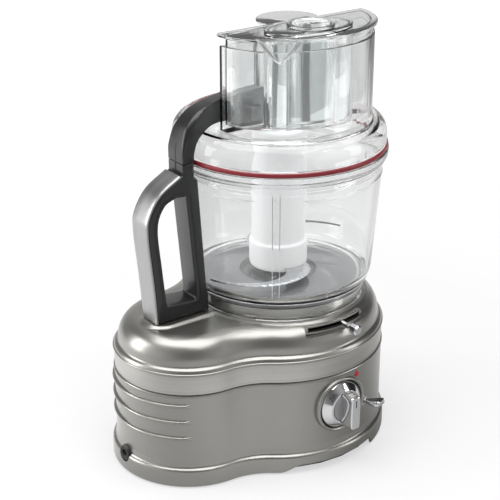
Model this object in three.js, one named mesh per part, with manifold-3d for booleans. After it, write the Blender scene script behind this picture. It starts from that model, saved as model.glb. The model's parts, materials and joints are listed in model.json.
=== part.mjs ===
// Food processor: a two-lobed cast base with a belt-driven spindle, a clear work bowl with a D-shaped
// handle, an S-blade, a clear lid with a wide D-shaped feed tube, and three nested food pushers.
// Millimetres, +Z up. The long side of the base lies along X, and its controls face -Y.
// The pieces are placed around the bowl's axis, and the whole machine is then moved so that the origin
// is the middle of its bounding box at the surface that it stands on.

import * as THREE from 'three';
import { mergeVertices } from 'three/addons/utils/BufferGeometryUtils.js';
import Module from 'manifold-3d';

const wasm = await Module();
wasm.setup();

// ---------------------------------------------------------------- driving dimensions

const DRIVE_X = 41;                 // bowl axis from the middle of the bounding box
const DRIVE_Y = 10.5;

const GAP = 0.4;                    // air between neighbouring pieces
const ROUND = 32;                   // sides of a large round piece
const SMALL_ROUND = 16;             // sides of a small round piece

// base outline: a small lobe under the handle, a large one under the bowl, and a waist between them
const MOTOR_LOBE = { x: -116, r: 79 };
const BOWL_LOBE = { x: -5, r: 118 };
const WAIST_R = 77;
const OUTLINE = { bowl: 20, waist: 5, motor: 14 };   // steps in each arc

const BASE = {
  wall: 3, bottom: 1.5, flange: 5, flangeTop: 22, flareTop: 38,
  bandLow: 106.5, bandHigh: 128, bandDepth: 2, deck: 162, shoulderLow: 134, shoulderInset: 4, deckInset: 25,
};
const PEDESTAL = { x: -148, r: 19, front: -96, top: 164.6 };
const ARCH = { from: -63, to: 43, height: 9 };      // lifts the front and back edges of the skirt
const COVER = { low: 6, high: 9 };
const FOOT = { r: 10, taper: 1.5 };
const SCREW = { aside: 16, head: 4.2, shank: 2, hole: 2.6, low: 3.4, top: 18 };
const VENT = { from: -150, to: -90, half: 2, rows: [-30, -18, -6, 6, 18, 30] };
const INLET = { back: -199.9, z: 20.5, r: 9 };
const FEET = [
  ['foot_front_left', -138, -42], ['foot_back_left', -138, 42],
  ['foot_front_right', 48, -78], ['foot_back_right', 48, 78],
];

const MOTOR = { x: -112, statorHalf: 47, bore: 28, low: 34, high: 92, shaft: 4, pulley: 11 };
const PULLEY = { r: 62, low: 13, high: 21, windows: 5, windowR: 13, windowAt: 37 };
const CHASSIS = { low: 25, high: 29 };
const SPINDLE = { r: 8, low: 11, flatsFrom: 184, flatsHalf: 5, high: 214 };
const BEARING = { lower: 11, upper: 6, spindle: 16, lowerZ: [25, 31], upperZ: [107, 113] };
const SPINDLE_BEARINGS = [['spindle_bearing_lower', 24, 32], ['spindle_bearing_upper', 151, 161.6]];
const FAN = { r: 38, hub: 9, blades: 8, low: 95, plate: 98, high: 106 };
const BRACKET = { half: 8, reach: 62, low: 108, high: 112 };
const PLATEAU = { r: 86, low: 162.4, high: 181.6, bore: 14, well: 41, wellDepth: 5 };

const KNOB = { x: -5, z: 70.5, bezel: 31, dial: 26, disc: 15.5, face: -119 };
const KNOB_BAR = { width: 12, height: 38, reach: -144 };
const SWITCH_BOX = { half: 18, tall: 32, front: -95.4, back: -78 };
const TOGGLE = { x: 29, z: 60, hole: 5, length: 25, tilt: 15 };
const LAMP = { x: 17.1, z: 98, r: 2.9 };
const SLOT = { r: 98.5, low: 151.2, high: 160.2, from: -112, to: -69, lever: -86.5 };
const LEVER = { r: 2.7, z: 155.8, tip: 5.6, inner: 86.2, outer: 117, end: 128 };

const BOWL = {
  skirt: 91.6, skirtLow: 162.6, skirtHigh: 168, floor: 182.2, shoulder: 99.7, shoulderZ: 192,
  top: 108.4, topZ: 311, collar: 113.5, collarLow: 317, rim: 325.5, wall: 3,
};
const NECK = { r: 16.5, bore: 13.5, high: 212 };
const HANDLE = { half: 14, low: 165.4, joint: 329.8, outer: -127.5, spine: 2.5 };
const ROD = { r: 2, bore: 2.6, low: [-107.4, 169], high: [-118.6, 329.4] };

const HUB = { low: 190, step: 219, high: 344, r: 31, upper: 28.6, bore: 18.5 };
const BLADE = { reach: 90, thickness: 2, lowerZ: 193, upperZ: 209, start: 280, sweep: -97, width: 17 };

const LID = { low: 330.9, rim: 111.5, top: 355, plate: 351.8, spigot: 103.4, spigotLow: 304, groove: 98 };
const SEAL = { low: 326, high: 330.4, inner: 109, outer: 112.6 };
const ARM = { neck: -60, block: -54, end: -26, under: 364.5, top: 393 };
const TUBE = { x: 9, y: -8, a: 89, b: 74, wall: 2.6, rim: 441.5 };
const COLUMN = { x: 9, y: 1, r: 33, wall: 2.2, high: 440 };

const LARGE = { low: 362, plate: 450, top: 453.5, clearance: 1.5, wall: 2, overhang: 2.4 };
const BARS = { half: 5, low: 358, at: [['pusher_bar_left', -14.5], ['pusher_bar_right', 31.5]] };
const OVAL = { x: 2, y: -44, a: 48, b: 27 };
const MEDIUM = { low: 364, flange: 453.9, top: 456.2, wall: 2, clearance: 1 };
const SMALL = { x: 4, y: -44, r: 21.4, low: 366, flange: 456.6, top: 458.9, wall: 2, clearance: 0.8 };
const SPOUT = { angle: 230, half: 24, reach: 14, low: 430, wall: 2 };

// ---------------------------------------------------------------- finishes

const finish = (color, roughness, metalness) => ({ color, roughness, metalness });
const PEARL = finish(0xb4b3ab, 0.35, 0.6);
const STEEL = finish(0xc2c3c4, 0.3, 0.95);
const CHROME = finish(0xe0e0e2, 0.08, 1);
const BLACK = finish(0x1c1b1e, 0.45, 0);
const GREY = finish(0x8d8f90, 0.5, 0.1);
const CLEAR = { ...finish(0xe9eef0, 0.05, 0), transparent: true, opacity: 0.35 };
const FROST = finish(0xf1f2f2, 0.6, 0);
const RED = finish(0x9a1526, 0.5, 0);
const RUBBER = finish(0x26272a, 0.9, 0);
const COPPER = finish(0x9a5a33, 0.4, 0.8);
const CIRCUIT = finish(0x1f5a3a, 0.6, 0);

// ---------------------------------------------------------------- helpers: solids

const radians = (degrees) => THREE.MathUtils.degToRad(degrees);

function signedVolume(positions, triangles) {
  const a = new THREE.Vector3();
  const b = new THREE.Vector3();
  const c = new THREE.Vector3();
  let volume = 0;
  for (let i = 0; i < triangles.length; i += 3) {
    a.fromArray(positions, 3 * triangles[i]);
    b.fromArray(positions, 3 * triangles[i + 1]);
    c.fromArray(positions, 3 * triangles[i + 2]);
    volume += a.dot(b.cross(c));
  }
  return volume;
}

// A closed geometry as a solid for cutting and joining, turned the right way out.
function solid(geometry) {
  const bare = geometry.clone();
  bare.deleteAttribute('normal');
  bare.deleteAttribute('uv');
  const merged = mergeVertices(bare, 1e-4);
  const positions = merged.attributes.position.array;
  const triangles = [];
  const index = merged.index.array;
  for (let i = 0; i < index.length; i += 3) {
    const [a, b, c] = [index[i], index[i + 1], index[i + 2]];
    if (a !== b && b !== c && c !== a) triangles.push(a, b, c);
  }
  if (signedVolume(positions, triangles) < 0) triangles.reverse();
  return new wasm.Manifold(new wasm.Mesh({
    numProp: 3, vertProperties: new Float32Array(positions), triVerts: new Uint32Array(triangles),
  }));
}

const join = (first, ...others) => others.reduce((whole, other) => whole.add(other), first);
const cut = (first, ...others) => others.reduce((whole, other) => whole.subtract(other), first);

function lathe(outline, sides = ROUND) {
  const points = outline.map(([r, z]) => new THREE.Vector2(r, z));
  return solid(new THREE.LatheGeometry(points, sides).rotateX(Math.PI / 2));
}

function ring(inner, outer, low, high, sides = ROUND) {
  return lathe([[inner, low], [outer, low], [outer, high], [inner, high], [inner, low]], sides);
}

function disc(r, low, high, x = 0, y = 0, sides = ROUND) {
  const geometry = new THREE.CylinderGeometry(r, r, high - low, sides).rotateX(Math.PI / 2);
  return solid(geometry.translate(x, y, (low + high) / 2));
}

function box(x0, x1, y0, y1, z0, z1) {
  const geometry = new THREE.BoxGeometry(x1 - x0, y1 - y0, z1 - z0);
  return solid(geometry.translate((x0 + x1) / 2, (y0 + y1) / 2, (z0 + z1) / 2));
}

// An outline in plan, raised from one height to another.
function slab(points, low, high, hole = null) {
  const shape = new THREE.Shape(points);
  if (hole) shape.holes.push(new THREE.Path(hole));
  const geometry = new THREE.ExtrudeGeometry(shape, { depth: high - low, bevelEnabled: false });
  return solid(geometry.translate(0, 0, low));
}

// An outline in the XZ plane, spread along Y.
function profile(points, y0, y1, hole = null) {
  const shape = new THREE.Shape(points);
  if (hole) shape.holes.push(new THREE.Path(hole));
  const geometry = new THREE.ExtrudeGeometry(shape, { depth: y1 - y0, bevelEnabled: false });
  return solid(geometry.rotateX(Math.PI / 2).translate(0, y1, 0));
}

// A stack of outlines with equal point counts, closed by a flat cap at each end.
function loft(rings) {
  const count = rings[0].points.length;
  const positions = [];
  for (const { points, z } of rings) for (const p of points) positions.push(p.x, p.y, z);
  const index = [];
  for (let k = 0; k + 1 < rings.length; k += 1) {
    for (let i = 0; i < count; i += 1) {
      const a = k * count + i;
      const b = k * count + ((i + 1) % count);
      index.push(a, b, b + count, a, b + count, a + count);
    }
  }
  const cap = THREE.ShapeUtils.triangulateShape(rings[0].points, []);
  const last = (rings.length - 1) * count;
  const lastCap = THREE.ShapeUtils.triangulateShape(rings[rings.length - 1].points, []);
  for (const [a, b, c] of cap) index.push(a, c, b);
  for (const [a, b, c] of lastCap) index.push(last + a, last + b, last + c);
  const geometry = new THREE.BufferGeometry();
  geometry.setAttribute('position', new THREE.Float32BufferAttribute(positions, 3));
  geometry.setIndex(index);
  return solid(geometry);
}

// ---------------------------------------------------------------- helpers: outlines

const arc = (x, y, r, from, to, steps) => Array.from({ length: steps }, (_, i) => {
  const angle = from + ((to - from) * i) / steps;
  return new THREE.Vector2(x + r * Math.cos(angle), y + r * Math.sin(angle));
});

const ellipse = (x, y, a, b, steps = ROUND) => Array.from({ length: steps }, (_, i) => {
  const angle = (2 * Math.PI * i) / steps;
  return new THREE.Vector2(x + a * Math.cos(angle), y + b * Math.sin(angle));
});

const pairs = (list) => list.map(([x, z]) => new THREE.Vector2(x, z));
const spline = (list, steps) => new THREE.SplineCurve(pairs(list)).getPoints(steps);

// Moves an open curve sideways, to the right of its direction of travel.
function offset(points, distance) {
  return points.map((p, i) => {
    const before = points[Math.max(i - 1, 0)];
    const after = points[Math.min(i + 1, points.length - 1)];
    const along = after.clone().sub(before).normalize();
    return new THREE.Vector2(p.x + along.y * distance, p.y - along.x * distance);
  });
}

// The base outline, moved inward: four arcs that meet in tangents, counterclockwise.
function baseOutline(inset) {
  const r1 = MOTOR_LOBE.r - inset;
  const r2 = BOWL_LOBE.r - inset;
  const rw = WAIST_R + inset;
  const length = BOWL_LOBE.x - MOTOR_LOBE.x;
  const back = ((r2 + rw) ** 2 - (r1 + rw) ** 2 + length ** 2) / (2 * length);
  const waistX = BOWL_LOBE.x - back;
  const waistY = Math.sqrt((r2 + rw) ** 2 - back ** 2);
  const motorAngle = Math.atan2(waistY, waistX - MOTOR_LOBE.x);
  const bowlAngle = Math.atan2(waistY, back * -1);
  const turn = 2 * Math.PI;
  return [
    ...arc(BOWL_LOBE.x, 0, r2, -bowlAngle, bowlAngle, OUTLINE.bowl),
    ...arc(waistX, waistY, rw, bowlAngle - Math.PI, motorAngle - Math.PI, OUTLINE.waist),
    ...arc(MOTOR_LOBE.x, 0, r1, motorAngle, turn - motorAngle, OUTLINE.motor),
    ...arc(waistX, -waistY, rw, Math.PI - motorAngle, Math.PI - bowlAngle, OUTLINE.waist),
  ];
}

const baseRing = ([inset, z]) => ({ points: baseOutline(inset), z });

// Half an ellipse towards -Y with a flat back, moved inward.
function tubeOutline(inset, steps = 28) {
  const y = TUBE.y - inset;
  const lift = Math.asin(inset / (TUBE.b - inset));
  return Array.from({ length: steps + 1 }, (_, i) => {
    const angle = Math.PI + lift + ((Math.PI - 2 * lift) * i) / steps;
    const across = (TUBE.a - inset) * Math.cos(angle);
    const depth = (TUBE.b - inset) * Math.sin(angle);
    return new THREE.Vector2(TUBE.x + across, Math.min(TUBE.y + depth, y));
  });
}

// ---------------------------------------------------------------- the scene graph

const processor = new THREE.Group();
processor.name = 'food_processor';
processor.position.set(DRIVE_X, DRIVE_Y, 0);

function addPiece(name, shape, look) {
  const { vertProperties, triVerts } = shape.getMesh();
  const geometry = new THREE.BufferGeometry();
  geometry.setAttribute('position', new THREE.Float32BufferAttribute(vertProperties, 3));
  geometry.setIndex(Array.from(triVerts));
  const mesh = new THREE.Mesh(geometry, new THREE.MeshStandardMaterial(look));
  mesh.name = name;
  processor.add(mesh);
}

// ---------------------------------------------------------------- base: shell, band, cover and feet

function baseHousing() {
  const { wall, bottom, flange, flangeTop, flareTop, bandLow, bandHigh, bandDepth } = BASE;
  const shoulder = (extra, drop) => [10, 28, 46, 66].map((degrees) => {
    const angle = radians(degrees);
    const inward = (BASE.deckInset - BASE.shoulderInset) * (1 - Math.cos(angle));
    return [BASE.shoulderInset + inward + extra,
      BASE.shoulderLow + (BASE.deck - BASE.shoulderLow) * Math.sin(angle) - drop];
  });
  const outside = [
    [-flange, bottom], [-flange, flangeTop - 4], [1 - flange, flangeTop], [2.6 - flange, flangeTop + 4],
    [-0.6, flareTop - 6], [0, flareTop], [0, bandLow], [bandDepth, bandLow], [bandDepth, bandHigh],
    [0, bandHigh], [1.5, bandHigh + 3],
    ...shoulder(0, 0), [BASE.deckInset, BASE.deck],
  ];
  const inside = [
    [BASE.deckInset + wall, BASE.deck - wall], ...shoulder(wall, wall).reverse(),
    [bandDepth + wall, bandHigh], [bandDepth + wall, bandLow - wall], [wall, flareTop],
    [wall - flange, flangeTop - 4], [wall - flange, bottom],
  ];
  const shell = loft([...inside, ...outside].map(baseRing));
  const pedestal = slab([
    ...arc(PEDESTAL.x, 0, PEDESTAL.r, Math.PI / 2, 1.5 * Math.PI, 12),
    new THREE.Vector2(PEDESTAL.front, -PEDESTAL.r), new THREE.Vector2(PEDESTAL.front, PEDESTAL.r),
  ], BASE.deck - 1.5, PEDESTAL.top);
  const clearOfBowl = disc(BOWL.skirt + 1.4, BASE.deck, PEDESTAL.top + 1);
  const spindleHole = disc(BEARING.spindle + GAP, BASE.deck - 12, BASE.deck + 8, 0, 0, SMALL_ROUND);
  const arches = box(ARCH.from, ARCH.to, -140, 140, 0, ARCH.height);
  const { x, z, bezel } = KNOB;
  const front = [-130, -90];
  const knobHole = alongY(bezel + GAP, ...front, x, z, ROUND);
  const toggleHole = alongY(TOGGLE.hole, ...front, TOGGLE.x, TOGGLE.z, SMALL_ROUND);
  const lampHole = alongY(LAMP.r + 0.5, ...front, LAMP.x, LAMP.z, 12);
  const inletHole = alongX(INLET.r, INLET.back - 5, INLET.back + 20, 0, INLET.z);
  const slot = slotSector(LEVER.inner + 1, BOWL_LOBE.r - 8, SLOT.low - GAP, SLOT.high + GAP, GAP);
  return cut(join(shell, cut(pedestal, clearOfBowl)), spindleHole, arches, knobHole, toggleHole,
    lampHole, inletHole, slot);
}

function alongY(r, y0, y1, x, z, sides = SMALL_ROUND) {
  return solid(new THREE.CylinderGeometry(r, r, y1 - y0, sides).translate(x, (y0 + y1) / 2, z));
}

function alongX(r, x0, x1, y, z, sides = SMALL_ROUND) {
  const geometry = new THREE.CylinderGeometry(r, r, x1 - x0, sides).rotateZ(Math.PI / 2);
  return solid(geometry.translate((x0 + x1) / 2, y, z));
}

// A piece of a ring around the bowl's axis, over the angles of the lever's slot.
function slotSector(inner, outer, low, high, grow, from = SLOT.from, to = SLOT.to) {
  const extra = grow / inner;
  const start = radians(from) - extra;
  const end = radians(to) + extra;
  const outward = arc(0, 0, outer, start, end, 12);
  const inward = arc(0, 0, inner, end, start, 12);
  const corner = (r, angle) => new THREE.Vector2(r * Math.cos(angle), r * Math.sin(angle));
  return slab([...outward, corner(outer, end), ...inward, corner(inner, start)], low, high);
}

function addBase() {
  addPiece('base_housing', baseHousing(), PEARL);

  const bandBack = baseOutline(BASE.bandDepth - GAP);
  const band = slab(baseOutline(0.3), BASE.bandLow + GAP, BASE.bandHigh - GAP, bandBack);
  addPiece('trim_band', band, STEEL);

  const middle = (MOTOR_LOBE.x + BOWL_LOBE.x) / 2;
  const screws = FEET.map(([, x, y]) => [x + SCREW.aside * Math.sign(middle - x), y]);
  const coverHoles = screws.map(([x, y]) => disc(SCREW.hole, 0, COVER.high + 1, x, y, 12));
  const cover = slab(baseOutline(-1.4), COVER.low, COVER.high);
  const vents = VENT.rows.map((y) => (
    box(VENT.from, VENT.to, y - VENT.half, y + VENT.half, 0, COVER.high + 1)));
  addPiece('bottom_cover', cut(cover, ...coverHoles, ...vents), BLACK);
  screws.forEach(([x, y], i) => {
    const head = disc(SCREW.head, SCREW.low, COVER.low - GAP, x, y, 12);
    const shank = disc(SCREW.shank, SCREW.low + 1, SCREW.top, x, y, 12);
    addPiece(`cover_screw_${i + 1}`, join(head, shank), STEEL);
  });
  for (const [name, x, y] of FEET) {
    const geometry = new THREE.CylinderGeometry(FOOT.r, FOOT.r - FOOT.taper, COVER.low - GAP, SMALL_ROUND);
    geometry.rotateX(Math.PI / 2).translate(x, y, (COVER.low - GAP) / 2);
    addPiece(name, solid(geometry), RUBBER);
  }

  const { back, z, r } = INLET;
  const inlet = join(alongX(r - GAP, back, back + 12, 0, z), alongX(r + 2.5, back + 8.6, back + 13, 0, z));
  addPiece('cord_inlet', cut(inlet, alongX(4.2, back - 5, back + 20, 0, z, 12)), RUBBER);
}

// ---------------------------------------------------------------- base: motor and belt drive

function beltOutline(extra) {
  const big = PULLEY.r + extra;
  const small = MOTOR.pulley + extra;
  const lean = Math.acos((big - small) / -MOTOR.x);
  const toSmall = Math.PI - lean;
  return [
    ...arc(0, 0, big, -toSmall, toSmall, 30), ...arc(0, 0, big, toSmall, toSmall + 1e-3, 1),
    ...arc(MOTOR.x, 0, small, toSmall, 2 * Math.PI - toSmall, 10),
    ...arc(MOTOR.x, 0, small, 2 * Math.PI - toSmall, 2 * Math.PI, 1),
  ];
}

// A round plate on a hub, with upright blades that lie along its radii.
function fan(bore) {
  const tall = FAN.high - FAN.plate + 1;
  const blades = Array.from({ length: FAN.blades }, (_, i) => {
    const blade = new THREE.BoxGeometry(FAN.r - FAN.hub, 2, tall);
    blade.translate((FAN.r + FAN.hub) / 2 - 1, 0, FAN.high - tall / 2);
    blade.rotateZ((2 * Math.PI * i) / FAN.blades);
    return solid(blade.translate(MOTOR.x, 0, 0));
  });
  const hub = disc(FAN.hub, FAN.low, FAN.high, MOTOR.x, 0, SMALL_ROUND);
  return cut(join(disc(FAN.r, FAN.low, FAN.plate, MOTOR.x, 0), hub, ...blades), bore);
}

function roundedSquare(x, half, corner) {
  const turn = Math.PI / 2;
  const centre = half - corner;
  return [[1, 1], [-1, 1], [-1, -1], [1, -1]].flatMap(([sx, sy], i) => (
    arc(x + sx * centre, sy * centre, corner, i * turn, (i + 1) * turn, 5)));
}

function addDrive() {
  const { x, statorHalf, bore, low, high, shaft, pulley } = MOTOR;
  const shaftHole = (r) => disc(r, 0, 120, x, 0, SMALL_ROUND);
  const running = shaftHole(shaft + GAP);
  const [lowerZ, upperZ] = [BEARING.lowerZ, BEARING.upperZ];
  const spindleHole = (r) => disc(r, 0, 240, 0, 0, SMALL_ROUND);

  const plate = slab(baseOutline(12), CHASSIS.low, CHASSIS.high);
  const holes = [shaftHole(BEARING.lower + GAP), spindleHole(BEARING.spindle + GAP)];
  addPiece('chassis_plate', cut(plate, ...holes), STEEL);
  addPiece('motor_bearing_lower', cut(disc(BEARING.lower, ...lowerZ, x, 0, SMALL_ROUND), running), STEEL);
  const core = slab(roundedSquare(x, statorHalf, 14), low, high, ellipse(x, 0, bore, bore, 24));
  addPiece('motor_stator', core, COPPER);
  addPiece('motor_rotor', cut(disc(bore - 1.2, low + 2, high - 2, x, 0, 24), running), STEEL);
  addPiece('motor_shaft', disc(shaft, SPINDLE.low, upperZ[1] + 3, x, 0, SMALL_ROUND), STEEL);
  addPiece('motor_pulley', cut(disc(pulley, PULLEY.low, PULLEY.high, x, 0, 24), running), STEEL);
  addPiece('cooling_fan', fan(running), BLACK);
  const { half, reach } = BRACKET;
  const bridge = box(x - half, x + half, -reach, reach, BRACKET.low, BRACKET.high);
  addPiece('motor_bracket', cut(bridge, shaftHole(BEARING.upper + GAP)), STEEL);
  addPiece('motor_bearing_upper', cut(disc(BEARING.upper, ...upperZ, x, 0, SMALL_ROUND), running), STEEL);

  const belt = slab(beltOutline(2.6), PULLEY.low + 0.5, PULLEY.high - 0.5, beltOutline(GAP));
  addPiece('drive_belt', belt, RUBBER);

  const { windows: count, windowR, windowAt } = PULLEY;
  const windows = Array.from({ length: count }, (_, i) => {
    const angle = (2 * Math.PI * i) / count;
    return disc(windowR, 10, 24, windowAt * Math.cos(angle), windowAt * Math.sin(angle), SMALL_ROUND);
  });
  const wheel = cut(disc(PULLEY.r, PULLEY.low, PULLEY.high), spindleHole(SPINDLE.r + GAP), ...windows);
  addPiece('drive_pulley', wheel, BLACK);
  const { r, flatsHalf, flatsFrom } = SPINDLE;
  const round = disc(r, SPINDLE.low, flatsFrom, 0, 0, SMALL_ROUND);
  const flats = box(-r, r, -flatsHalf, flatsHalf, flatsFrom, SPINDLE.high);
  const tip = flats.intersect(disc(r, flatsFrom, SPINDLE.high, 0, 0, SMALL_ROUND));
  addPiece('drive_spindle', join(round, tip), STEEL);
  for (const [name, from, to] of SPINDLE_BEARINGS) {
    addPiece(name, cut(disc(BEARING.spindle, from, to, 0, 0, SMALL_ROUND), spindleHole(r + 0.5)), STEEL);
  }
  const seat = PLATEAU;
  const dish = seat.high - seat.wellDepth;
  addPiece('bowl_seat', lathe([
    [seat.bore, seat.low], [seat.r, seat.low], [seat.r, seat.high - 3], [seat.r - 3, seat.high],
    [seat.well, seat.high], [seat.well - 1, dish], [seat.bore, dish], [seat.bore, seat.low],
  ]), GREY);
}

// ---------------------------------------------------------------- base: controls

// Points from the wall of the base outwards, at a place on the front of the large lobe.
function outwardAt(x) {
  const angle = Math.asin((x - BOWL_LOBE.x) / BOWL_LOBE.r);
  return { angle, y: -BOWL_LOBE.r * Math.cos(angle) };
}

// A round profile (radius, distance) around a line along -Y, for knobs.
function turned(profilePoints, x, y, z, sides) {
  const points = profilePoints.map(([r, d]) => new THREE.Vector2(r, -d));
  return solid(new THREE.LatheGeometry(points, sides).translate(x, y, z));
}

function addControls() {
  const { x, z, bezel, dial, disc: discR, face } = KNOB;
  addPiece('knob_bezel', turned([[dial + GAP, -8], [bezel, -8], [bezel, -1], [bezel - 1.5, 1.5],
    [dial + 1.4, 1.5], [dial + GAP, -1], [dial + GAP, -8]], x, face, z, ROUND), PEARL);
  addPiece('knob_dial', turned([[4.5, -7], [dial, -7], [dial, 1], [discR + 3.5, 8], [discR + GAP, 8],
    [discR + GAP, -3], [4.5, -3], [4.5, -7]], x, face, z, 32), CHROME);
  addPiece('knob_disc', cut(turned([[0, -2.4], [discR, -2.4], [discR, 8.5], [0, 8.5]], x, face, z, 28),
    alongY(3.4, face - 4, face + 6, x, z, 12)), GREY);
  const half = KNOB_BAR.width / 2;
  const tall = KNOB_BAR.height / 2;
  addPiece('knob_bar', box(x - half, x + half, KNOB_BAR.reach, face - 8.9, z - tall, z + tall), CHROME);
  addPiece('knob_shaft', alongY(3, face - 3.4, -96, x, z, 12), STEEL);
  const { half: wide, tall: deep, front, back } = SWITCH_BOX;
  addPiece('speed_switch', box(x - wide, x + wide, front, back, z - deep / 2, z + deep / 2), BLACK);

  const { angle, y } = outwardAt(TOGGLE.x);
  const side = [[2.2, -12], [2.2, 8], [6, 15], [6, TOGGLE.length - 2], [3, TOGGLE.length]];
  const otherSide = side.map(([across, out]) => [-across, out]).reverse();
  const paddle = new THREE.Shape(pairs([...side, ...otherSide]));
  const lever = new THREE.ExtrudeGeometry(paddle, { depth: 4, bevelEnabled: false });
  lever.translate(0, 0, -2).rotateX(radians(TOGGLE.tilt)).rotateZ(Math.PI + angle);
  addPiece('toggle_lever', solid(lever.translate(TOGGLE.x, y, TOGGLE.z)), CHROME);
  addPiece('indicator_lamp', alongY(LAMP.r, outwardAt(LAMP.x).y - 1, -106, LAMP.x, LAMP.z, 16), RED);
  addPiece('control_board', box(-52, -26, -92, -90, 40, 98), CIRCUIT);
  addPiece('interlock_switch', box(-152, -130, -8, 8, 136, 150), BLACK);

  const frame = slotSector(SLOT.r, SLOT.r + 5.5, SLOT.low, SLOT.high, 0);
  const { from, to, low: sill, high: head } = SLOT;
  const window = slotSector(SLOT.r - 1, SLOT.r + 7, sill + 1.6, head - 1.4, 0, from + 2, to - 2);
  addPiece('lever_slot_frame', cut(frame, window), PEARL);
  const place = (geometry) => solid(geometry.rotateZ(radians(SLOT.lever)).translate(0, 0, LEVER.z));
  const stem = new THREE.CylinderGeometry(LEVER.r, LEVER.r, LEVER.outer - LEVER.inner, 12);
  stem.rotateZ(Math.PI / 2).translate((LEVER.inner + LEVER.outer) / 2, 0, 0);
  const tip = new THREE.CylinderGeometry(LEVER.tip, LEVER.tip, LEVER.end - LEVER.outer, 8);
  tip.rotateZ(Math.PI / 2).translate((LEVER.end + LEVER.outer) / 2 + GAP / 2, 0, 0);
  addPiece('lever_stem', place(stem), CHROME);
  addPiece('lever_tip', place(tip), CHROME);
  addPiece('adjuster_ring', ring(78, 85.6, 153, 158.4, 36), STEEL);
}

// ---------------------------------------------------------------- bowl and handle

function addBowl() {
  const b = BOWL;
  const bowl = lathe([
    [b.skirt - b.wall, b.skirtLow], [b.skirt, b.skirtLow], [b.skirt, b.skirtHigh], [93, 173], [96.5, 180],
    [b.shoulder, b.shoulderZ], [b.top, b.topZ], [b.top + 1, b.topZ + 3], [b.collar, b.collarLow],
    [b.collar, b.rim], [b.collar - 2.6, b.rim], [b.collar - 2.6, b.collarLow + 1.6],
    [b.top - b.wall, b.topZ + 2], [b.top - b.wall, b.topZ], [b.shoulder - b.wall, b.shoulderZ], [93.6, 187.4],
    [90, b.floor + 2.6], [NECK.r, b.floor + 2.6], [NECK.r, NECK.high], [NECK.bore, NECK.high],
    [NECK.bore, b.floor], [b.skirt - b.wall, b.floor], [b.skirt - b.wall, b.skirtLow],
  ]);
  addPiece('bowl_shell', bowl, CLEAR);

  const outer = spline([[-163, HANDLE.low], [-166.6, 211], [-171.6, 265], [-168.6, 285], [-155, 305],
    [-131.5, 319.6]], 22);
  const spine = [...outer, ...offset(outer, HANDLE.spine).reverse()];
  addPiece('handle_spine', profile(spine, -HANDLE.half, HANDLE.half), STEEL);
  const back = offset(outer, HANDLE.spine + GAP).reverse();
  const post = pairs([[-98.9, HANDLE.low], [-99.2, 184], [-101.5, 194], [-110, 311.5], [-114, 315.5],
    [-114, HANDLE.joint], [HANDLE.outer, HANDLE.joint], [HANDLE.outer, 319]]);
  const frame = [...back, ...post];
  const grip = spline([[-136, 297], [-149.6, 290], [-157.4, 269], [-153.8, 225], [-149.5, 184]], 14);
  const opening = [...pairs([[-114, 181], [-114.2, 192], [-123.8, 296]]), ...grip];
  const body = profile(frame, -HANDLE.half, HANDLE.half, opening);
  addPiece('handle_frame', cut(body, rodBetween(ROD.low, ROD.high, ROD.bore, 9)), BLACK);
  addPiece('interlock_rod', rodBetween(ROD.low, ROD.high, ROD.r), STEEL);
}

// A thin rod in the XZ plane between two points, and past both by a little.
function rodBetween([x0, z0], [x1, z1], r, past = 0) {
  const length = Math.hypot(x1 - x0, z1 - z0) + 2 * past;
  const geometry = new THREE.CylinderGeometry(r, r, length, 12).rotateX(Math.PI / 2);
  geometry.rotateY(Math.atan2(x1 - x0, z1 - z0)).translate((x0 + x1) / 2, 0, (z0 + z1) / 2);
  return solid(geometry);
}

// ---------------------------------------------------------------- blade

// One curved arm: starts at the hub, sweeps back as it goes out and ends in a point.
function bladeOutline(start) {
  const steps = 12;
  const edge = (lead) => Array.from({ length: steps + 1 }, (_, i) => {
    const t = i / steps;
    const r = HUB.r - 6 + (BLADE.reach - HUB.r + 6) * t;
    const lean = (lead * BLADE.width * (1 - t ** 2)) / r;
    const angle = radians(start) + radians(BLADE.sweep) * t ** 1.5 + lean;
    return new THREE.Vector2(r * Math.cos(angle), r * Math.sin(angle));
  });
  return [...edge(-1), ...edge(1).reverse().slice(1)];
}

function addBlade() {
  const core = lathe([[HUB.bore, HUB.low], [HUB.r - 2, HUB.low], [HUB.r, HUB.low + 3], [HUB.r, HUB.step],
    [HUB.upper, HUB.step + 2], [HUB.upper - 1, HUB.high - 3], [HUB.upper - 4, HUB.high], [0, HUB.high],
    [0, 216], [HUB.bore, 216], [HUB.bore, HUB.low]], 36);
  const seats = [];
  const arms = [['blade_lower', BLADE.lowerZ, BLADE.start], ['blade_upper', BLADE.upperZ, BLADE.start - 180]];
  for (const [name, z, start] of arms) {
    const outline = bladeOutline(start);
    seats.push(slab(outline, z - GAP, z + BLADE.thickness + GAP));
    addPiece(name, cut(slab(outline, z, z + BLADE.thickness), disc(HUB.r - 4, 180, 300)), STEEL);
  }
  const slots = seats.map((seat) => cut(seat, disc(HUB.r - 4 - GAP, 180, 300)));
  addPiece('blade_hub', cut(core, ...slots), FROST);
}

// ---------------------------------------------------------------- lid, seal and arm

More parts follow.
